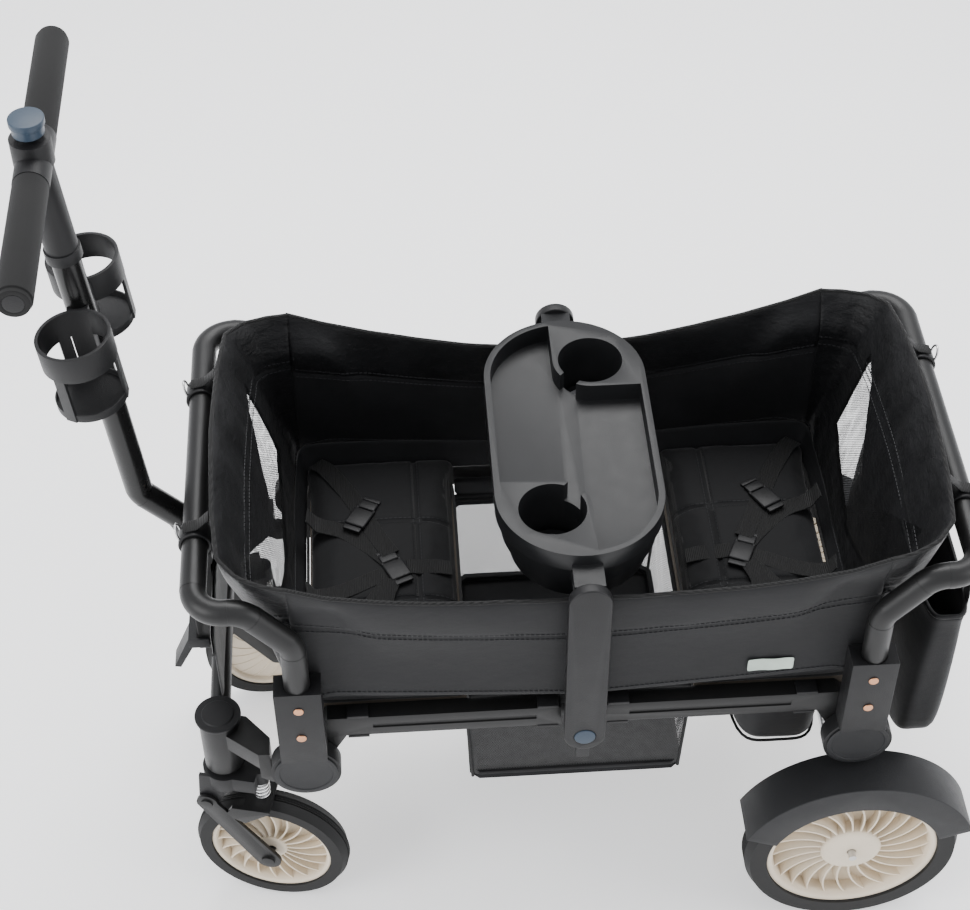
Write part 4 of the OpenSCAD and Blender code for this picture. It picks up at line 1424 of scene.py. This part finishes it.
def buckle(name, spot, heading):
    """A side-release buckle: a rounded body with its two prongs, a slot bar and a release gap."""
    parts = []
    for low, high, round_off in (((-22, -14, -3.5), (10, 14, 3.5), 2.4),
                                 ((11.5, -12, -3), (26, 12, 3), 2.0),
                                 ((6, -13.5, -2.2), (14, -9.5, 2.2), 1.2),
                                 ((6, 9.5, -2.2), (14, 13.5, 2.2), 1.2),
                                 ((27, -12, -2), (33, 12, 2), 1.2),
                                 ((-31, -12, -2), (-23, 12, 2), 1.2)):
        piece = block(name, Vector(low) * MM, Vector(high) * MM, round_off * MM)
        parts.append(plain(piece, hub_black))
    made = join(parts, name)
    turn = Matrix.Rotation(math.radians(heading), 4, "Z") @ Matrix.Rotation(math.radians(4), 4, "Y")
    made.data.transform(Matrix.Translation(spot) @ turn)
    return made


def seat_strap(end, *spots):
    """A 24 mm strap through spots, with heights from the cushion's top, turned to one seat."""
    return tape(smooth_path([at(end * x, y, CUSHION_TOP + z) for x, y, z in spots]), 24)


def harness(end):
    name = end_name_of(end)
    straps = []
    for side in (-1, 1):
        straps.append(seat_strap(end, (332, side * 62, 26), (318, side * 60, 8),
                                 (286, side * 50, 3.5), (250, side * 26 - 8, 5),
                                 (226, side * 8 - 18, 7)))
        straps.append(seat_strap(end, (322, side * 184, -6), (306, side * 164, 0.5),
                                 (276, side * 112, 3), (244, side * 52 - 12, 5),
                                 (226, side * 22 - 18, 8)))
    straps.append(seat_strap(end, (150, -14, -5), (168, -15, 1), (190, -16, 3), (206, -17, 7)))
    straps.append(seat_strap(end, (226, -40, 10), (236, -76, 6), (214, -108, 4), (190, -128, 3)))
    straps.append(buckle("buckle", at(end * 222, -18, CUSHION_TOP + 7), 90 - end * 24))
    straps.append(buckle("slider", at(end * 262, 74, CUSHION_TOP + 7), 118 if end > 0 else 62))
    made = join(straps, name + "_harness")
    finish_piece(made, name + "_rail_set", "seat_fabric", angle=40, flip=True)
    tuple(at(end * 236, 0, 412))
    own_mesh(made)


for end in ENDS.values():
    harness(end)
print("harness")

# %% [markdown]
# Small trims finish the object: straps that tie the tub's rim to the end bars, a blank woven tag on
# the near panel, and the floor that everything stands on.

# %% Trims
for end_name, end in ENDS.items():
    trims = []
    for y in (-120, 120):
        loop = [at(end * x, y, z)
                for x, z in ((431, 690), (437, 684), (445, 676), (452, 673.5), (462, 671))]
        trims.append(tape(smooth_path(loop, 5), 16, up=Vector((0, 0, 1))))
        ring = [at(end * (468 + 3 * math.sin(a)), y + 9 * math.cos(a), 664 + 11 * math.sin(a))
                for a in [math.tau * k / 28 for k in range(28)]]
        trims.append(piping(ring, 1.5, steel, True))
    ties = join(trims, end_name + "_ties")
    finish_piece(ties, end_name + "_chassis", "hub_black", angle=50, flip=True)

tag_rows = [[at(x, -217.2 - 0.5 * math.sin(x * 0.2), z) for z in (472, 480, 488, 494)]
            for x in range(196, 253, 4)]
tag = cloth_surface("tag", tag_rows, 0.0010, tag_cloth)
finish_piece(tag, "rear_chassis", "pale_grey", angle=50, flip=True)
tuple(at(342, 0, 500))
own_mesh(tag)

corners = [(x, y, -0.001) for x, y in ((-30, -30), (30, -30), (30, 30), (-30, 30))]
floor_mesh = new_mesh("floor", corners, [(0, 1, 2, 3)])
floor = link(floor_mesh, "floor")
paper = Finish("paper", Roughness=0.9, Emission_Strength=0.45)
paper.shader.inputs["Emission Color"].default_value = (1.0, 1.0, 1.0, 1.0)
paper.feed("Base Color", paper.ramp(paper.noise(2.0), blend_stops(grey(0.93), grey(0.95))))
floor_mesh.materials.append(paper.material)
print("trims and floor")
